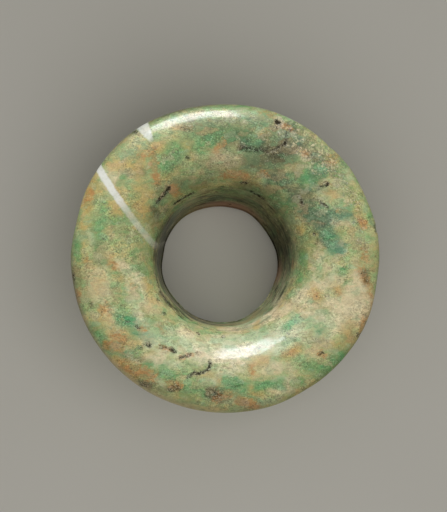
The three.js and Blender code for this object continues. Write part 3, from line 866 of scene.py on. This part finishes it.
# %% A helper for node trees
class Tree:
    """Adds nodes to a material. An input that is a socket is linked, any other is typed in."""

    def __init__(self, name):
        self.material = bpy.data.materials.new(name)
        self.material.use_nodes = True
        self.nodes = self.material.node_tree.nodes
        self.links = self.material.node_tree.links
        self.nodes.clear()

    def feed(self, socket, value):
        if isinstance(value, bpy.types.NodeSocket):
            self.links.new(value, socket)
        else:
            socket.default_value = value

    def add(self, kind, inputs=(), output=0, **settings):
        node = self.nodes.new("ShaderNode" + kind)
        for name, value in settings.items():
            setattr(node, name, value)
        for key, value in dict(inputs).items():
            self.feed(node.inputs[key], value)
        return node.outputs[output]

    def finish(self, shader):
        output = self.nodes.new("ShaderNodeOutputMaterial")
        self.links.new(shader, output.inputs["Surface"])
        return self.material

    def maths(self, operation, *values):
        return self.add("Math", enumerate(values), operation=operation)

    def times(self, *values):
        return self.maths("MULTIPLY", *values)

    def times_plus(self, *values):
        """The first value times the second, plus the third."""
        return self.maths("MULTIPLY_ADD", *values)

    def larger(self, *values):
        return self.maths("MAXIMUM", *values)

    def vector(self, operation, *values, output=0, **inputs):
        typed = {**dict(enumerate(values)), **inputs}
        return self.add("VectorMath", typed, output, operation=operation)

    def axis(self, vector, number):
        """The X, Y or Z of a vector, as 0, 1 or 2."""
        return self.add("SeparateXYZ", {0: vector}, number)

    def ramp(self, value, low, high, start=0.0, end=1.0):
        """Turns a value between low and high into a smooth share between start and end."""
        inputs = {0: value, 1: low, 2: high, 3: start, 4: end}
        return self.add("MapRange", inputs, interpolation_type="SMOOTHSTEP")

    def blend(self, share, under, over):
        """Mixes two colours."""
        node = self.nodes.new("ShaderNodeMix")
        node.data_type = "RGBA"
        for key, value in (("Factor", share), ("A", under), ("B", over)):
            self.feed([s for s in node.inputs if s.name == key and s.enabled][0], value)
        return [s for s in node.outputs if s.enabled][0]

    def attribute(self, name):
        return self.add("Attribute", output=2, attribute_name=name)

    def place(self):
        """The place inside the object, in millimetres."""
        return self.vector("SCALE", self.add("TexCoord", output=3), Scale=1 / MM)

    def noise(self, place, per_mm, detail=4.0, roughness=0.55, output=0):
        inputs = {"Vector": place, "Scale": per_mm, "Detail": detail, "Roughness": roughness}
        return self.add("TexNoise", inputs, output)

    def push(self, place, amount, per_mm, detail=2.0):
        """Moves the place by noise, at most about half the amount in each direction."""
        wander = self.noise(place, per_mm, detail, output=1)
        offset = self.vector("SUBTRACT", wander, (0.5, 0.5, 0.5))
        return self.vector("MULTIPLY_ADD", offset, (amount, amount, amount), place)


# %% [markdown]
# ### Paint
# A screen colour is not a reflectance: the screen bends its scale, and the lamps brighten what
# they fall on. Each paint below is picked as it should show on the lit front of the stone, and
# the helper turns it into the reflectance that shows so.

# %% Screen colours to reflectance
STUDIO_LIGHT = 1.3


def screen_light(part):
    """The light that a screen gives for a value from 0 to 255."""
    part /= 255
    return part / 12.92 if part <= 0.04045 else ((part + 0.055) / 1.055) ** 2.4


def painted(red, green, blue, brightness=STUDIO_LIGHT):
    """The reflectance of a surface that shows as a screen colour under such a brightness."""
    return (*(screen_light(part) / brightness for part in (red, green, blue)), 1.0)


# The paints that more than one step uses.
OCHRE = painted(190, 160, 90)
LEAF_GREEN = painted(94, 152, 88)
CREAM = painted(220, 202, 160)
UMBER = painted(104, 82, 52)
# The black is soot, and painted shade on the far edge of the bore.
SOOT_AND_SHADE_BLACK = painted(38, 32, 20)
PALE_GRAIN = painted(214, 216, 188)
# This brown paints shade, in the gaps between crumbs and behind the rim.
BROWN_SHADE = painted(66, 62, 42)
# This dark is soil, and partly painted shade in the bore.
DEEP_SOIL_AND_SHADE = painted(46, 46, 28)
BORE_CREAM = painted(176, 158, 126)
print("leaf green reflects", [round(part, 3) for part in LEAF_GREEN[:3]])

# %% [markdown]
# ### Places in the stone
# All patterns are solid: they read the place inside the stone in millimetres, so a cloud on
# the lip goes on round the back. The crystals lie along one direction, from the lower left to
# the upper right, so the place is turned and squeezed along it. Then it is pushed about by
# noise, which turns round blobs into ragged flames.

# %% Turn, squeeze and push the place
FLOW_ANGLE = 32
FLOW_SQUEEZE = 0.65

tree = Tree("greenstone")
place = tree.place()
flow = tree.add("Mapping", {
    "Vector": place, "Rotation": (0, 0, -math.radians(FLOW_ANGLE)), "Scale": (FLOW_SQUEEZE, 1, 1),
})
flames = tree.push(flow, 5.0, 0.16, 3.0)
ragged = tree.push(flow, 1.6, 0.7, 3.0)
print("the places take", len(tree.nodes), "nodes")

# %% [markdown]
# ### Grain
# Seen close, the stone is a felt of fibres with crystals strewn in it. Two sets of fibres lie
# across each other, and a broad noise chooses between them, so they lie this way in one patch
# and that way in the next. A Voronoi pattern gives each crystal a value of its own. Every
# mineral's edge is frayed by this grain, which keeps the clouds from looking airbrushed.

# %% Felt and crystals
# The fibres' direction in degrees, and how much they are squeezed along each axis.
FIBRES = [(35, (1.3, 3.2, 2.0)), (120, (1.4, 3.2, 2.0))]
CRYSTALS_PER_MM = 2.2
FIBRE_SHARE = 0.7  # of the grain; the crystals have the rest

bent = tree.push(place, 1.2, 0.5, 2.0)
fibres = []
for turn, squeeze in FIBRES:
    laid = tree.add("Mapping", {
        "Vector": bent, "Rotation": (0, 0, -math.radians(turn)), "Scale": squeeze,
    })
    fibres.append(tree.noise(laid, 1.0, 2.0, 0.6))
patch = tree.ramp(tree.noise(place, 0.45, 2.0), 0.42, 0.58)
felt = tree.times_plus(tree.maths("SUBTRACT", fibres[1], fibres[0]), patch, fibres[0])

crystals = tree.add("TexVoronoi", {
    "Vector": tree.push(flow, 0.6, 1.6), "Scale": CRYSTALS_PER_MM,
}, output=1)
grain = tree.times_plus(tree.axis(crystals, 0), 1 - FIBRE_SHARE, tree.times(felt, FIBRE_SHARE))
small = tree.noise(ragged, 0.9, 3.0, 0.55)
mottle = tree.times_plus(small, 0.5, tree.times(grain, 0.5))
print("with the grain there are", len(tree.nodes), "nodes")

# %% [markdown]
# ### The ground between the clouds
# Where no mark lies, the stone is sage green, and chance makes it paler, warmer or greener. Each
# of the three is a mix of a broad noise with the mottle, so that it has both a soft outline and
# a grainy edge.

# %% Lay the ground
SAGE = painted(149, 156, 98)
PALE_SAGE = painted(190, 188, 130)

broad = tree.noise(flames, 0.17, 3.0, 0.5)
middle = tree.noise(flames, 0.42, 4.0, 0.6)
pale = tree.times_plus(broad, 0.7, tree.times(mottle, 0.6))
warm = tree.times_plus(middle, 0.6, tree.times(mottle, 0.7))
green = tree.times_plus(middle, -0.6, tree.times(mottle, 0.6))
colour = tree.blend(tree.ramp(pale, 0.5, 0.78), SAGE, PALE_SAGE)
colour = tree.blend(tree.ramp(warm, 0.6, 0.82, 0.0, 0.7), colour, OCHRE)
colour = tree.blend(tree.ramp(green, -0.04, 0.14, 0.0, 0.6), colour, LEAF_GREEN)
print("with the ground there are", len(tree.nodes), "nodes")

# %% [markdown]
# ### Clouds of mineral
# A mark alone would show as a soft airbrushed stroke. So its amount is added to a cloudy noise
# and the grain, and the sum is cut: where the mark is strong the mineral covers nearly all, and
# where it is weak only the peaks of the noise come through. The minerals are laid in order, the
# broad ones first and the brightest green last. Smoke only darkens what lies under it.

# %% Lay the clouds
# Each mineral's mark, its paint and how much of the ground it covers at most.
# Mist is partly painted sheen, on the lower side and round the lower highlight.
CLOUDS = [
    ("olive", painted(104, 106, 62), 0.8), ("mist_and_sheen", painted(206, 210, 170), 0.75),
    ("cream", CREAM, 0.8), ("ochre", OCHRE, 0.8), ("leaf", LEAF_GREEN, 0.85),
    ("teal", painted(62, 120, 88), 0.85),
]
EMERALD = painted(74, 156, 92)
DARK_OLIVE = painted(72, 74, 46)
CLOUD_FRAY = 2.4
GRAIN_FRAY = 0.4
FRAY_LEVEL = 1.4  # what the two add on average


def mineral_mask(name, texture, low=0.15, high=1.1, most=0.85):
    """Where a mineral shows: its mark's amount, frayed by a noise and the grain, cut softly."""
    frayed = tree.times_plus(texture, CLOUD_FRAY, tree.attribute(name))
    frayed = tree.times_plus(grain, GRAIN_FRAY, frayed)
    return tree.ramp(frayed, low + FRAY_LEVEL, high + FRAY_LEVEL, 0.0, most)


clouds = tree.times_plus(small, 0.55, tree.times(middle, 0.45))
for name, paint, most in CLOUDS:
    colour = tree.blend(mineral_mask(name, clouds, most=most), colour, paint)
colour = tree.blend(mineral_mask("emerald", small, 0.3, 1.7), colour, EMERALD)
# Smoke is partly painted shade, on the upper side and at the edge of the top highlight.
smoke_and_shade = tree.times_plus(clouds, 1.2, tree.attribute("smoke_and_shade"))
colour = tree.blend(tree.ramp(smoke_and_shade, 0.7, 1.8, 0.0, 0.75), colour, DARK_OLIVE)
print("with the clouds there are", len(tree.nodes), "nodes")

# %% [markdown]
# ### Rust, and the surroundings of the soot
# Rust is iron that soaked in. Its edge is more ragged than a cloud's, and its middle turns to
# umber. Where soot lies, pale grains stand round it and a brown smudge joins its specks. All
# four are cut as the clouds are, each with a finer noise of its own.

# %% Lay the stains
# A mark, the fineness, detail and roughness of its noise, the two ends of its cut, how much it
# covers, and its paint.
STAINS = [
    ("rust", (1.6, 4.0, 0.65), (0.15, 1.1), 0.88, painted(180, 130, 70)),
    ("rust", (3.0, 3.0, 0.7), (1.0, 1.6), 0.6, UMBER),
    ("soot", (2.0, 3.0, 0.7), (0.6, 1.0), 0.3, PALE_GRAIN),
    ("soot", (1.5, 4.0, 0.7), (0.4, 1.25), 0.5, painted(66, 60, 40)),
]

for name, texture, cut, most, paint in STAINS:
    colour = tree.blend(mineral_mask(name, tree.noise(ragged, *texture), *cut, most), colour, paint)
print("with the stains there are", len(tree.nodes), "nodes")

# %% [markdown]
# ### Small changes of hue
# No patch of the stone is of one colour. Smooth cells a little over a millimetre wide turn it
# somewhat to peach, jade or grey, and a few umber specks are strewn over it.

# %% Vary the hue
PEACH = painted(192, 160, 116)
JADE = painted(108, 164, 112)
MIST_GREY = painted(178, 188, 158)
HUE_MOST = 0.3
GREY_MOST = 0.2

cells = tree.add("TexVoronoi", {
    "Vector": tree.push(flow, 1.8, 0.9, 3.0), "Scale": 0.8, "Smoothness": 0.5,
}, output=1, feature="SMOOTH_F1")
hue = tree.axis(cells, 0)
colour = tree.blend(tree.ramp(hue, 0.55, 0.95, 0.0, HUE_MOST), colour, PEACH)
colour = tree.blend(tree.ramp(hue, 0.45, 0.05, 0.0, HUE_MOST), colour, JADE)
colour = tree.blend(tree.ramp(tree.axis(cells, 1), 0.6, 0.95, 0.0, GREY_MOST), colour, MIST_GREY)
specks = tree.noise(ragged, 1.9, 2.0, 0.5)
colour = tree.blend(tree.ramp(specks, 0.66, 0.76, 0.0, 0.5), colour, UMBER)
print("with the hues there are", len(tree.nodes), "nodes")

# %% [markdown]
# ### Pepper and sparkle
# The finest thing that can be seen is a grain of about a quarter of a millimetre. The grain
# first makes the colour lighter or darker as a whole, then pale and dark grains are laid on it.
# A broad noise makes some regions busy and others quiet. The pale clouds carry less pepper, and
# the emerald spots more sparkle.

# %% Pepper the colour
DARK_GRAIN = painted(84, 88, 60)
SHADE_BY_GRAIN = 0.24
SHADE_BY_SPECKS = 0.3

busy = tree.ramp(tree.noise(place, 0.24, 3.0, 0.6), 0.4, 0.62, 0.5, 1.35)
calm = tree.larger(tree.attribute("cream"), tree.attribute("mist_and_sheen"))
peppery = tree.times(busy, tree.ramp(calm, 0.3, 0.8, 1.0, 0.4))
sparkling = tree.times_plus(tree.attribute("emerald"), 0.7, busy)
fine = tree.noise(tree.push(place, 0.5, 1.5), 3.8, 2.0, 0.7)

by_grain = tree.times(busy, tree.ramp(grain, 0.2, 0.8, -SHADE_BY_GRAIN, SHADE_BY_GRAIN))
lighter = tree.ramp(fine, 0.52, 0.68, 0.0, SHADE_BY_SPECKS)
darker = tree.ramp(fine, 0.48, 0.32, 0.0, -SHADE_BY_SPECKS)
shade = tree.maths("ADD", by_grain, 1.0)
shade = tree.times_plus(tree.maths("ADD", lighter, darker), busy, shade)
colour = tree.vector("SCALE", colour, Scale=shade)
pale_specks = tree.times(sparkling, tree.ramp(fine, 0.54, 0.7, 0.0, 0.2))
dark_specks = tree.times(peppery, tree.ramp(fine, 0.46, 0.3, 0.0, 0.25))
colour = tree.blend(pale_specks, colour, PALE_GRAIN)
colour = tree.blend(dark_specks, colour, DARK_GRAIN)
print("with the pepper there are", len(tree.nodes), "nodes")

# %% [markdown]
# ### Colour of the coarse patch
# The crumbs in the mesh are large. Between and on them lie smaller ones that only colour shows:
# cells with gaps in brown painted shade, some of them with tops in cream painted highlight. A
# noise frays the edge of the patch.

# %% Colour the crumbs
SMALL_CRUMBS_PER_MM = 1.6
GAP_DARKNESS = 0.5

jostled = {"Vector": tree.push(place, 1.3, 1.3, 3.0), "Scale": SMALL_CRUMBS_PER_MM}
edge = tree.add("TexVoronoi", jostled, feature="DISTANCE_TO_EDGE")
kind = tree.axis(tree.add("TexVoronoi", jostled, output=1), 0)
patchy = tree.times_plus(tree.noise(place, 0.5, 3.0, 0.6), 1.6, tree.attribute("coarse"))
coarse = tree.ramp(patchy, 0.95, 1.6)
# Painted shade in the gaps between the small crumbs, and painted highlight on their tops.
shaded_gaps = tree.times(coarse, tree.ramp(edge, 0.14, 0.02))
lit_tops = tree.times(tree.ramp(edge, 0.02, 0.16), tree.ramp(kind, 0.5, 0.9, 0.0, 0.55))
colour = tree.blend(tree.times(coarse, lit_tops), colour, CREAM)
colour = tree.blend(tree.times(shaded_gaps, GAP_DARKNESS), colour, BROWN_SHADE)
print("with the crumbs there are", len(tree.nodes), "nodes")

# %% [markdown]
# ### Lines round the bore
# The drill turned, so whatever it left in the bore runs round it: grooves, and soil in them. The
# amount of each ring is stored with the points. Finer lines come from a noise whose place is
# squeezed sideways, so that it changes slowly round the bore and fast along it. They come and go
# in patches, and are full where the wall is marked as lined.

# %% Lay the drill's lines, and the soil that is partly painted shade
AROUND_PER_MM = 0.16
ALONG_PER_MM = (1.6, 0.2)  # outward, and up
MOUTH = BORE_MOUTH_RADIUS / MM
STEEP_UNTIL = MOUTH + 4.0  # millimetres from the axis, where the funnel turns to face forward
SOIL_AND_SHADE = painted(98, 100, 72)

flat = tree.vector("MULTIPLY", place, (1, 1, 0))
radius = tree.vector("LENGTH", flat, output=1)
height = tree.axis(place, 2)
along = tree.times_plus(radius, ALONG_PER_MM[0], tree.times(height, ALONG_PER_MM[1]))
round_bore = tree.vector(
    "MULTIPLY_ADD", flat, (AROUND_PER_MM, AROUND_PER_MM, 0), tree.add("CombineXYZ", {2: along}),
)
lines = tree.noise(tree.push(round_bore, 0.4, 0.9), 1.0, 4.0, 0.8)
fitful = tree.ramp(tree.noise(place, 0.32, 3.0, 0.6), 0.42, 0.6, 0.25, 1.0)
fitful = tree.larger(fitful, tree.attribute("lined"))
steep = tree.ramp(radius, MOUTH, STEEP_UNTIL, 1.0, 0.0)
dusty = tree.ramp(tree.attribute("soil_and_shade"), 0.0, 0.7, 0.3, 0.8)
dusty = tree.times(tree.larger(dusty, tree.attribute("lined")), steep)
clotted = tree.noise(place, 0.9, 4.0, 0.65)

fine_light = tree.times(tree.times(steep, tree.ramp(lines, 0.46, 0.38, 0.0, 0.75)), fitful)
# The soil is partly painted shade, on the side of the funnel turned from the lamp.
soil_and_shade = tree.times(tree.attribute("soil_and_shade"), tree.ramp(clotted, 0.35, 0.6, 0.4, 0.85))
fine_dark = tree.times(tree.times(dusty, fitful), tree.ramp(lines, 0.53, 0.59, 0.0, 0.9))
colour = tree.blend(fine_light, colour, BORE_CREAM)
colour = tree.blend(soil_and_shade, colour, SOIL_AND_SHADE)
colour = tree.blend(fine_dark, colour, DEEP_SOIL_AND_SHADE)
print("with the drill's lines there are", len(tree.nodes), "nodes")

# %% [markdown]
# ### Deep in the bore
# The rings in the mesh hold soil in their grooves and are rubbed pale on their ridges. Below
# them the soil lies thicker, and on the bore's grazing side walls that dark is partly painted
# shade. A red earth stays near the far end, and the far edge is painted black as shade.

# %% Darken the bore's depth
RED_SOIL = painted(176, 128, 106)
RED_SOIL_HEIGHTS = (4.0, 8.0)
SHADED_EDGE_HEIGHTS = (3.1, 3.9)

grooves = tree.ramp(tree.attribute("rings"), -0.08, -0.4, 0.0, 0.5)
ridges = tree.ramp(tree.attribute("rings"), 0.15, 0.4, 0.0, 0.25)
# Deep soil is partly painted shade on the bore's grazing side walls.
deep = tree.times(tree.attribute("deep_soil_and_shade"), tree.ramp(clotted, 0.35, 0.6, 0.65, 0.97))
deep = tree.times(deep, tree.ramp(lines, 0.38, 0.5, 0.35, 1.0))
red = tree.times(tree.ramp(height, *RED_SOIL_HEIGHTS, 0.8, 0.0), tree.attribute("red_soil"))
# The far edge of the bore is painted shade in black.
black = tree.times(tree.ramp(height, *SHADED_EDGE_HEIGHTS, 0.9, 0.0), tree.attribute("shaded_edge"))
for share, paint in (
    (tree.times(fitful, grooves), DEEP_SOIL_AND_SHADE), (tree.times(fitful, ridges), BORE_CREAM),
    (deep, DEEP_SOIL_AND_SHADE), (red, RED_SOIL), (black, SOOT_AND_SHADE_BLACK),
):
    colour = tree.blend(share, colour, paint)
print("with the bore there are", len(tree.nodes), "nodes")

# %% [markdown]
# ### Painted shade and a painted highlight on the rim
# Brown painted shade lies just behind the widest circle, where the lip turns away from the
# light. A stretch at the lower left has a cream painted highlight along that edge instead, and
# the grain shows through both.

# %% Paint shade and a highlight on the rim
# Brown painted shade behind the widest circle.
rim_shade = tree.times(tree.attribute("brown_rim_shade"), tree.ramp(grain, 0.2, 0.7, 1.0, 0.75))
# A cream painted highlight along the lower left edge.
rim_highlight = tree.times(tree.attribute("painted_rim_highlight"), tree.ramp(grain, 0.2, 0.7, 0.4, 0.8))
colour = tree.blend(rim_shade, colour, BROWN_SHADE)
colour = tree.blend(rim_highlight, colour, CREAM)
print("with the rim there are", len(tree.nodes), "nodes")

# %% [markdown]
# ### The white veins
# Cracks once opened through the stone and white mineral filled them, so each vein is a flat
# sheet inside it. The long one shows as a straight line from the rim to the throat at the upper
# left, widest at the rim, and it clouds over as it goes down the funnel. A stub of a second one,
# beside it, cuts only the lip. A curve laid on the surface would give the line but not the way
# it bends over the lip, which the sheet gives by itself.

# %% Sheets of white mineral
VEIN_WHITE = painted(224, 224, 212)
VEIN_ACROSS = (0.823, 0.569, 0.24)
VEIN_ALONG = (-0.605, 0.796, 0.0)
# In millimetres the sheet's offset from the axis, how far out its inner and its outer end lie,
# and half its width at each; then how white it is.
VEINS = [(-6.1, (9.0, 29.5), (0.5, 0.76), 1.0), (5.6, (26.0, 30.2), (0.3, 1.3), 0.75)]
VEIN_EDGE = (-0.22, 0.24)  # how far in and out its edge is soft
VEIN_TIP = 1.5  # the length over which its inner end fades away
VEIN_CLEARS = (17.4, 22.4)  # how far out it is still faint, and clear
FAINT = 0.42


def white_vein(place, offset, ends, half_widths):
    across = tree.vector("DOT_PRODUCT", place, VEIN_ACROSS, output=1)
    along = tree.vector("DOT_PRODUCT", place, VEIN_ALONG, output=1)
    away = tree.maths("ABSOLUTE", tree.maths("SUBTRACT", across, offset))
    half = tree.add("MapRange", {
        0: along, 1: ends[0], 2: ends[1], 3: half_widths[0], 4: half_widths[1],
    })
    inside = tree.ramp(tree.maths("SUBTRACT", half, away), *VEIN_EDGE)
    inside = tree.times(inside, tree.ramp(along, ends[0], ends[0] + VEIN_TIP))
    return tree.times(inside, tree.ramp(along, *VEIN_CLEARS, FAINT, 1.0))


frayed = tree.push(place, 0.5, 1.6, 3.0)
for offset, ends, half_widths, most in VEINS:
    through_grain = tree.ramp(grain, 0.2, 0.6, 0.7 * most, 0.95 * most)
    vein = tree.times(white_vein(frayed, offset, ends, half_widths), through_grain)
    colour = tree.blend(vein, colour, VEIN_WHITE)
print("with the veins there are", len(tree.nodes), "nodes")

# %% [markdown]
# ### Soot in the cracks
# The black mineral is the last to be laid, because it lies in cracks that cut through all the
# rest. A hairline is where a noise crosses its middle value, which is a thin winding line.
# Blots are the peaks of a finer noise. Both are kept to the soot's marks.

# %% Lay the soot
SOOT_COVER = 0.95
BLOT_COVER = 0.92

mark = tree.attribute("soot")
winding = tree.noise(ragged, 1.6, 3.0, 0.65)
hairline = tree.ramp(tree.maths("ABSOLUTE", tree.maths("SUBTRACT", winding, 0.5)), 0.0, 0.05, 1, 0)
hairline = tree.times(hairline, tree.ramp(mark, 0.2, 0.7, 0.0, SOOT_COVER))
broken = tree.times_plus(tree.noise(ragged, 2.7, 3.0, 0.7), 4.6, mark)
blots = tree.times(tree.ramp(broken, 3.35, 3.65, 0.0, BLOT_COVER), tree.ramp(mark, 0.1, 0.4))
soot = tree.larger(hairline, blots)
colour = tree.blend(soot, colour, SOOT_AND_SHADE_BLACK)
print("with the soot there are", len(tree.nodes), "nodes")

# %% [markdown]
# ### Polish
# The gloss is a coat over a duller surface, as wax and long handling leave it. Pinholes too
# small for the mesh prick the coat, while the surface under it only follows the grain, sinks in
# the soot and drops in the gaps of the coarse patch. The bore was never polished, so the coat
# thins out in the funnel, and soot takes no shine.

# %% Bumps, roughness and gloss
BUMP_HEIGHT = 0.04 * MM
PINHOLE_DEPTH = 0.7
GAP_DEPTH = 2.5
POLISHED_FROM = MOUTH + 2.5  # millimetres from the axis

pinholes = tree.ramp(tree.noise(place, 4.0, 2.0, 0.5), 0.58, 0.72)
gentle = tree.maths("SUBTRACT", tree.times(grain, 0.5), soot)
gentle = tree.times_plus(shaded_gaps, -GAP_DEPTH, gentle)
pitted = tree.times_plus(pinholes, -PINHOLE_DEPTH, gentle)
bump = tree.add("Bump", {"Strength": 0.3, "Distance": BUMP_HEIGHT, "Height": gentle})
gloss_bump = tree.add("Bump", {"Strength": 0.6, "Distance": BUMP_HEIGHT, "Height": pitted})
rough_crumbs = tree.ramp(tree.attribute("coarse"), 0.1, 0.9, 0.45, 0.62)
rough_soil = tree.ramp(tree.attribute("soil_and_shade"), 0.2, 1.0, 0.0, 0.35)
gloss = tree.ramp(radius, MOUTH, POLISHED_FROM, 0.02, 0.31)
gloss = tree.times(gloss, tree.ramp(soot, 0.1, 0.6, 1.0, 0.1))
print("with the polish there are", len(tree.nodes), "nodes")

# %% [markdown]
# ### The finished stone
# A little light goes into the stone and comes out green, about half a millimetre away, which
# softens the edges of the grain. The object sits at the origin, unturned, and rides on the
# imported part's body.

# %% Finish the material and place the stone
LIGHT_GOES_IN = 0.5 * MM
LIGHT_BY_COLOUR = (1.0, 1.2, 0.7)

stone_mesh.materials.append(tree.finish(tree.add("BsdfPrincipled", {
    "Base Color": colour, "Roughness": tree.maths("ADD", rough_crumbs, rough_soil),
    "Normal": bump, "IOR": 1.5, "Specular IOR Level": tree.ramp(soot, 0.1, 0.6, 0.33, 0.05),
    "Coat Weight": gloss, "Coat Roughness": 0.06, "Coat IOR": 1.6, "Coat Normal": gloss_bump,
    "Subsurface Weight": 0.08, "Subsurface Radius": LIGHT_BY_COLOUR,
    "Subsurface Scale": LIGHT_GOES_IN,
})))
stone = bpy.data.objects.new("greenstone_flare", stone_mesh)
bpy.context.scene.collection.objects.link(stone)
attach(stone, "root")
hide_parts(STONE_NODE)
print("the finished material has", len(tree.nodes), "nodes")

# %% [markdown]
# ## Floor
# The ornament lies on a plain pale floor, large enough to fill every view. Its grey is warm, as
# unbleached paper is, and drifts a little over tens of centimetres.

# %% Make the floor
FLOOR_SIZE = 4.0
FLOOR_TINTS = (painted(224, 223, 221, 1.0), painted(229, 228, 227, 1.0))


def make_paper():
    paper = Tree("floor_paper")
    tint = paper.ramp(paper.noise(paper.place(), 0.01, 2.0), 0.3, 0.7)
    colour = paper.blend(tint, *FLOOR_TINTS)
    return paper.finish(paper.add("BsdfPrincipled", {"Base Color": colour, "Roughness": 0.9}))


plane = bmesh.new()
bmesh.ops.create_grid(plane, x_segments=1, y_segments=1, size=FLOOR_SIZE / 2)
floor_mesh = bpy.data.meshes.new("floor")
plane.to_mesh(floor_mesh)
plane.free()
floor_mesh.materials.append(make_paper())
floor = bpy.data.objects.new("floor", floor_mesh)
bpy.context.scene.collection.objects.link(floor)
print("the floor is", FLOOR_SIZE, "m wide")

# %% [markdown]
# ## Light
# The two long highlights tell where the lamp was: the one on the lip's top slope and the one on
# the funnel's lower slope both mirror one soft box, nearly square, about 49 degrees from the
# bore's axis and a little left of straight up. It gives about two thirds of the light on the
# stone. The rest comes from a wide, dim sheet that leans to the lower right, so wide that its
# mirror image has no edge to see, and from a faint even glow all round. The soft box is kept
# off the floor by light linking, so the floor stays even.

# %% Lamps
COOL = (0.97, 1.0, 1.1)
WARM = (1.03, 1.0, 0.9)
SOFT_BOX_SIZE = (0.262, 0.225)
SHEET_SIZE = (2.2, 2.2)


def direction_of(around, from_axis):
    """Unit vector at an angle round +Z from +X, and an angle from +Z, both in degrees."""
    turn, tilt = math.radians(around), math.radians(from_axis)
    return Vector((
        math.sin(tilt) * math.cos(turn), math.sin(tilt) * math.sin(turn), math.cos(tilt),
    ))


def add_lamp(name, towards, distance, size, radiance, colour, receiver=None):
    """A flat lamp that looks at the rim's middle. Its power follows from its radiance."""
    lamp = bpy.data.lights.new(name, "AREA")
    lamp.color = colour
    lamp.shape = "RECTANGLE"
    lamp.size, lamp.size_y = size
    lamp.energy = math.pi * size[0] * size[1] * radiance
    holder = bpy.data.objects.new(name, lamp)
    bpy.context.scene.collection.objects.link(holder)
    holder.location = towards * distance + Vector((0, 0, RIM_HEIGHT))
    holder.rotation_mode = "QUATERNION"
    holder.rotation_quaternion = towards.to_track_quat("Z", "Y")
    if receiver is not None:
        lit = bpy.data.collections.new(name + "_receivers")
        lit.objects.link(receiver)
        holder.light_linking.receiver_collection = lit
    print(name, "has", round(lamp.energy, 2), "watts")


add_lamp("soft_box", direction_of(95.5, 49), 0.6, SOFT_BOX_SIZE, 23.4, COOL, stone)
add_lamp("overhead_sheet", direction_of(290, 34), 1.2, SHEET_SIZE, 0.53, WARM)

# %% The glow all round, and how the picture is shown
GLOW = 0.205

world = bpy.data.worlds.new("studio")
world.use_nodes = True
background = world.node_tree.nodes["Background"]
background.inputs["Color"].default_value = (*WARM, 1)
background.inputs["Strength"].default_value = GLOW
bpy.context.scene.world = world
bpy.context.scene.view_settings.view_transform = "Standard"
print("the glow all round has a strength of", GLOW)

# %% [markdown]
# ## Camera
# The photograph looks almost straight down the bore, from a few degrees to the lower left. A
# long lens far away keeps the ellipses round. The frame is taller than wide, so the lens's
# sensor width spans its height.

# %% Camera at the photograph's angle
FRAME_WIDTH_PX, FRAME_HEIGHT_PX = 447, 512
RIM_CENTRE_PX = (225.5, 257.7)
RIM_RADIUS_PX = 155.3
CAMERA_DISTANCE = 0.7
SENSOR_MM = 36.0
CLIP = (0.01, 20.0)

pixel = RIM_RADIUS / RIM_RADIUS_PX
aim = Vector((
    (FRAME_WIDTH_PX / 2 - RIM_CENTRE_PX[0]) * pixel,
    (RIM_CENTRE_PX[1] - FRAME_HEIGHT_PX / 2) * pixel,
    RIM_HEIGHT,
))
camera_data = bpy.data.cameras.new("camera")
camera = bpy.data.objects.new("camera", camera_data)
bpy.context.scene.collection.objects.link(camera)
camera.location = aim + TOWARDS_EYE * CAMERA_DISTANCE
camera.rotation_euler = (math.asin(-TOWARDS_EYE.y), -math.atan2(-TOWARDS_EYE.x, TOWARDS_EYE.z), 0)
camera_data.sensor_width = SENSOR_MM
camera_data.lens = SENSOR_MM * CAMERA_DISTANCE / (FRAME_HEIGHT_PX * pixel)
camera_data.clip_start, camera_data.clip_end = CLIP
bpy.context.scene.camera = camera
print("the lens is", round(camera_data.lens), "mm long")
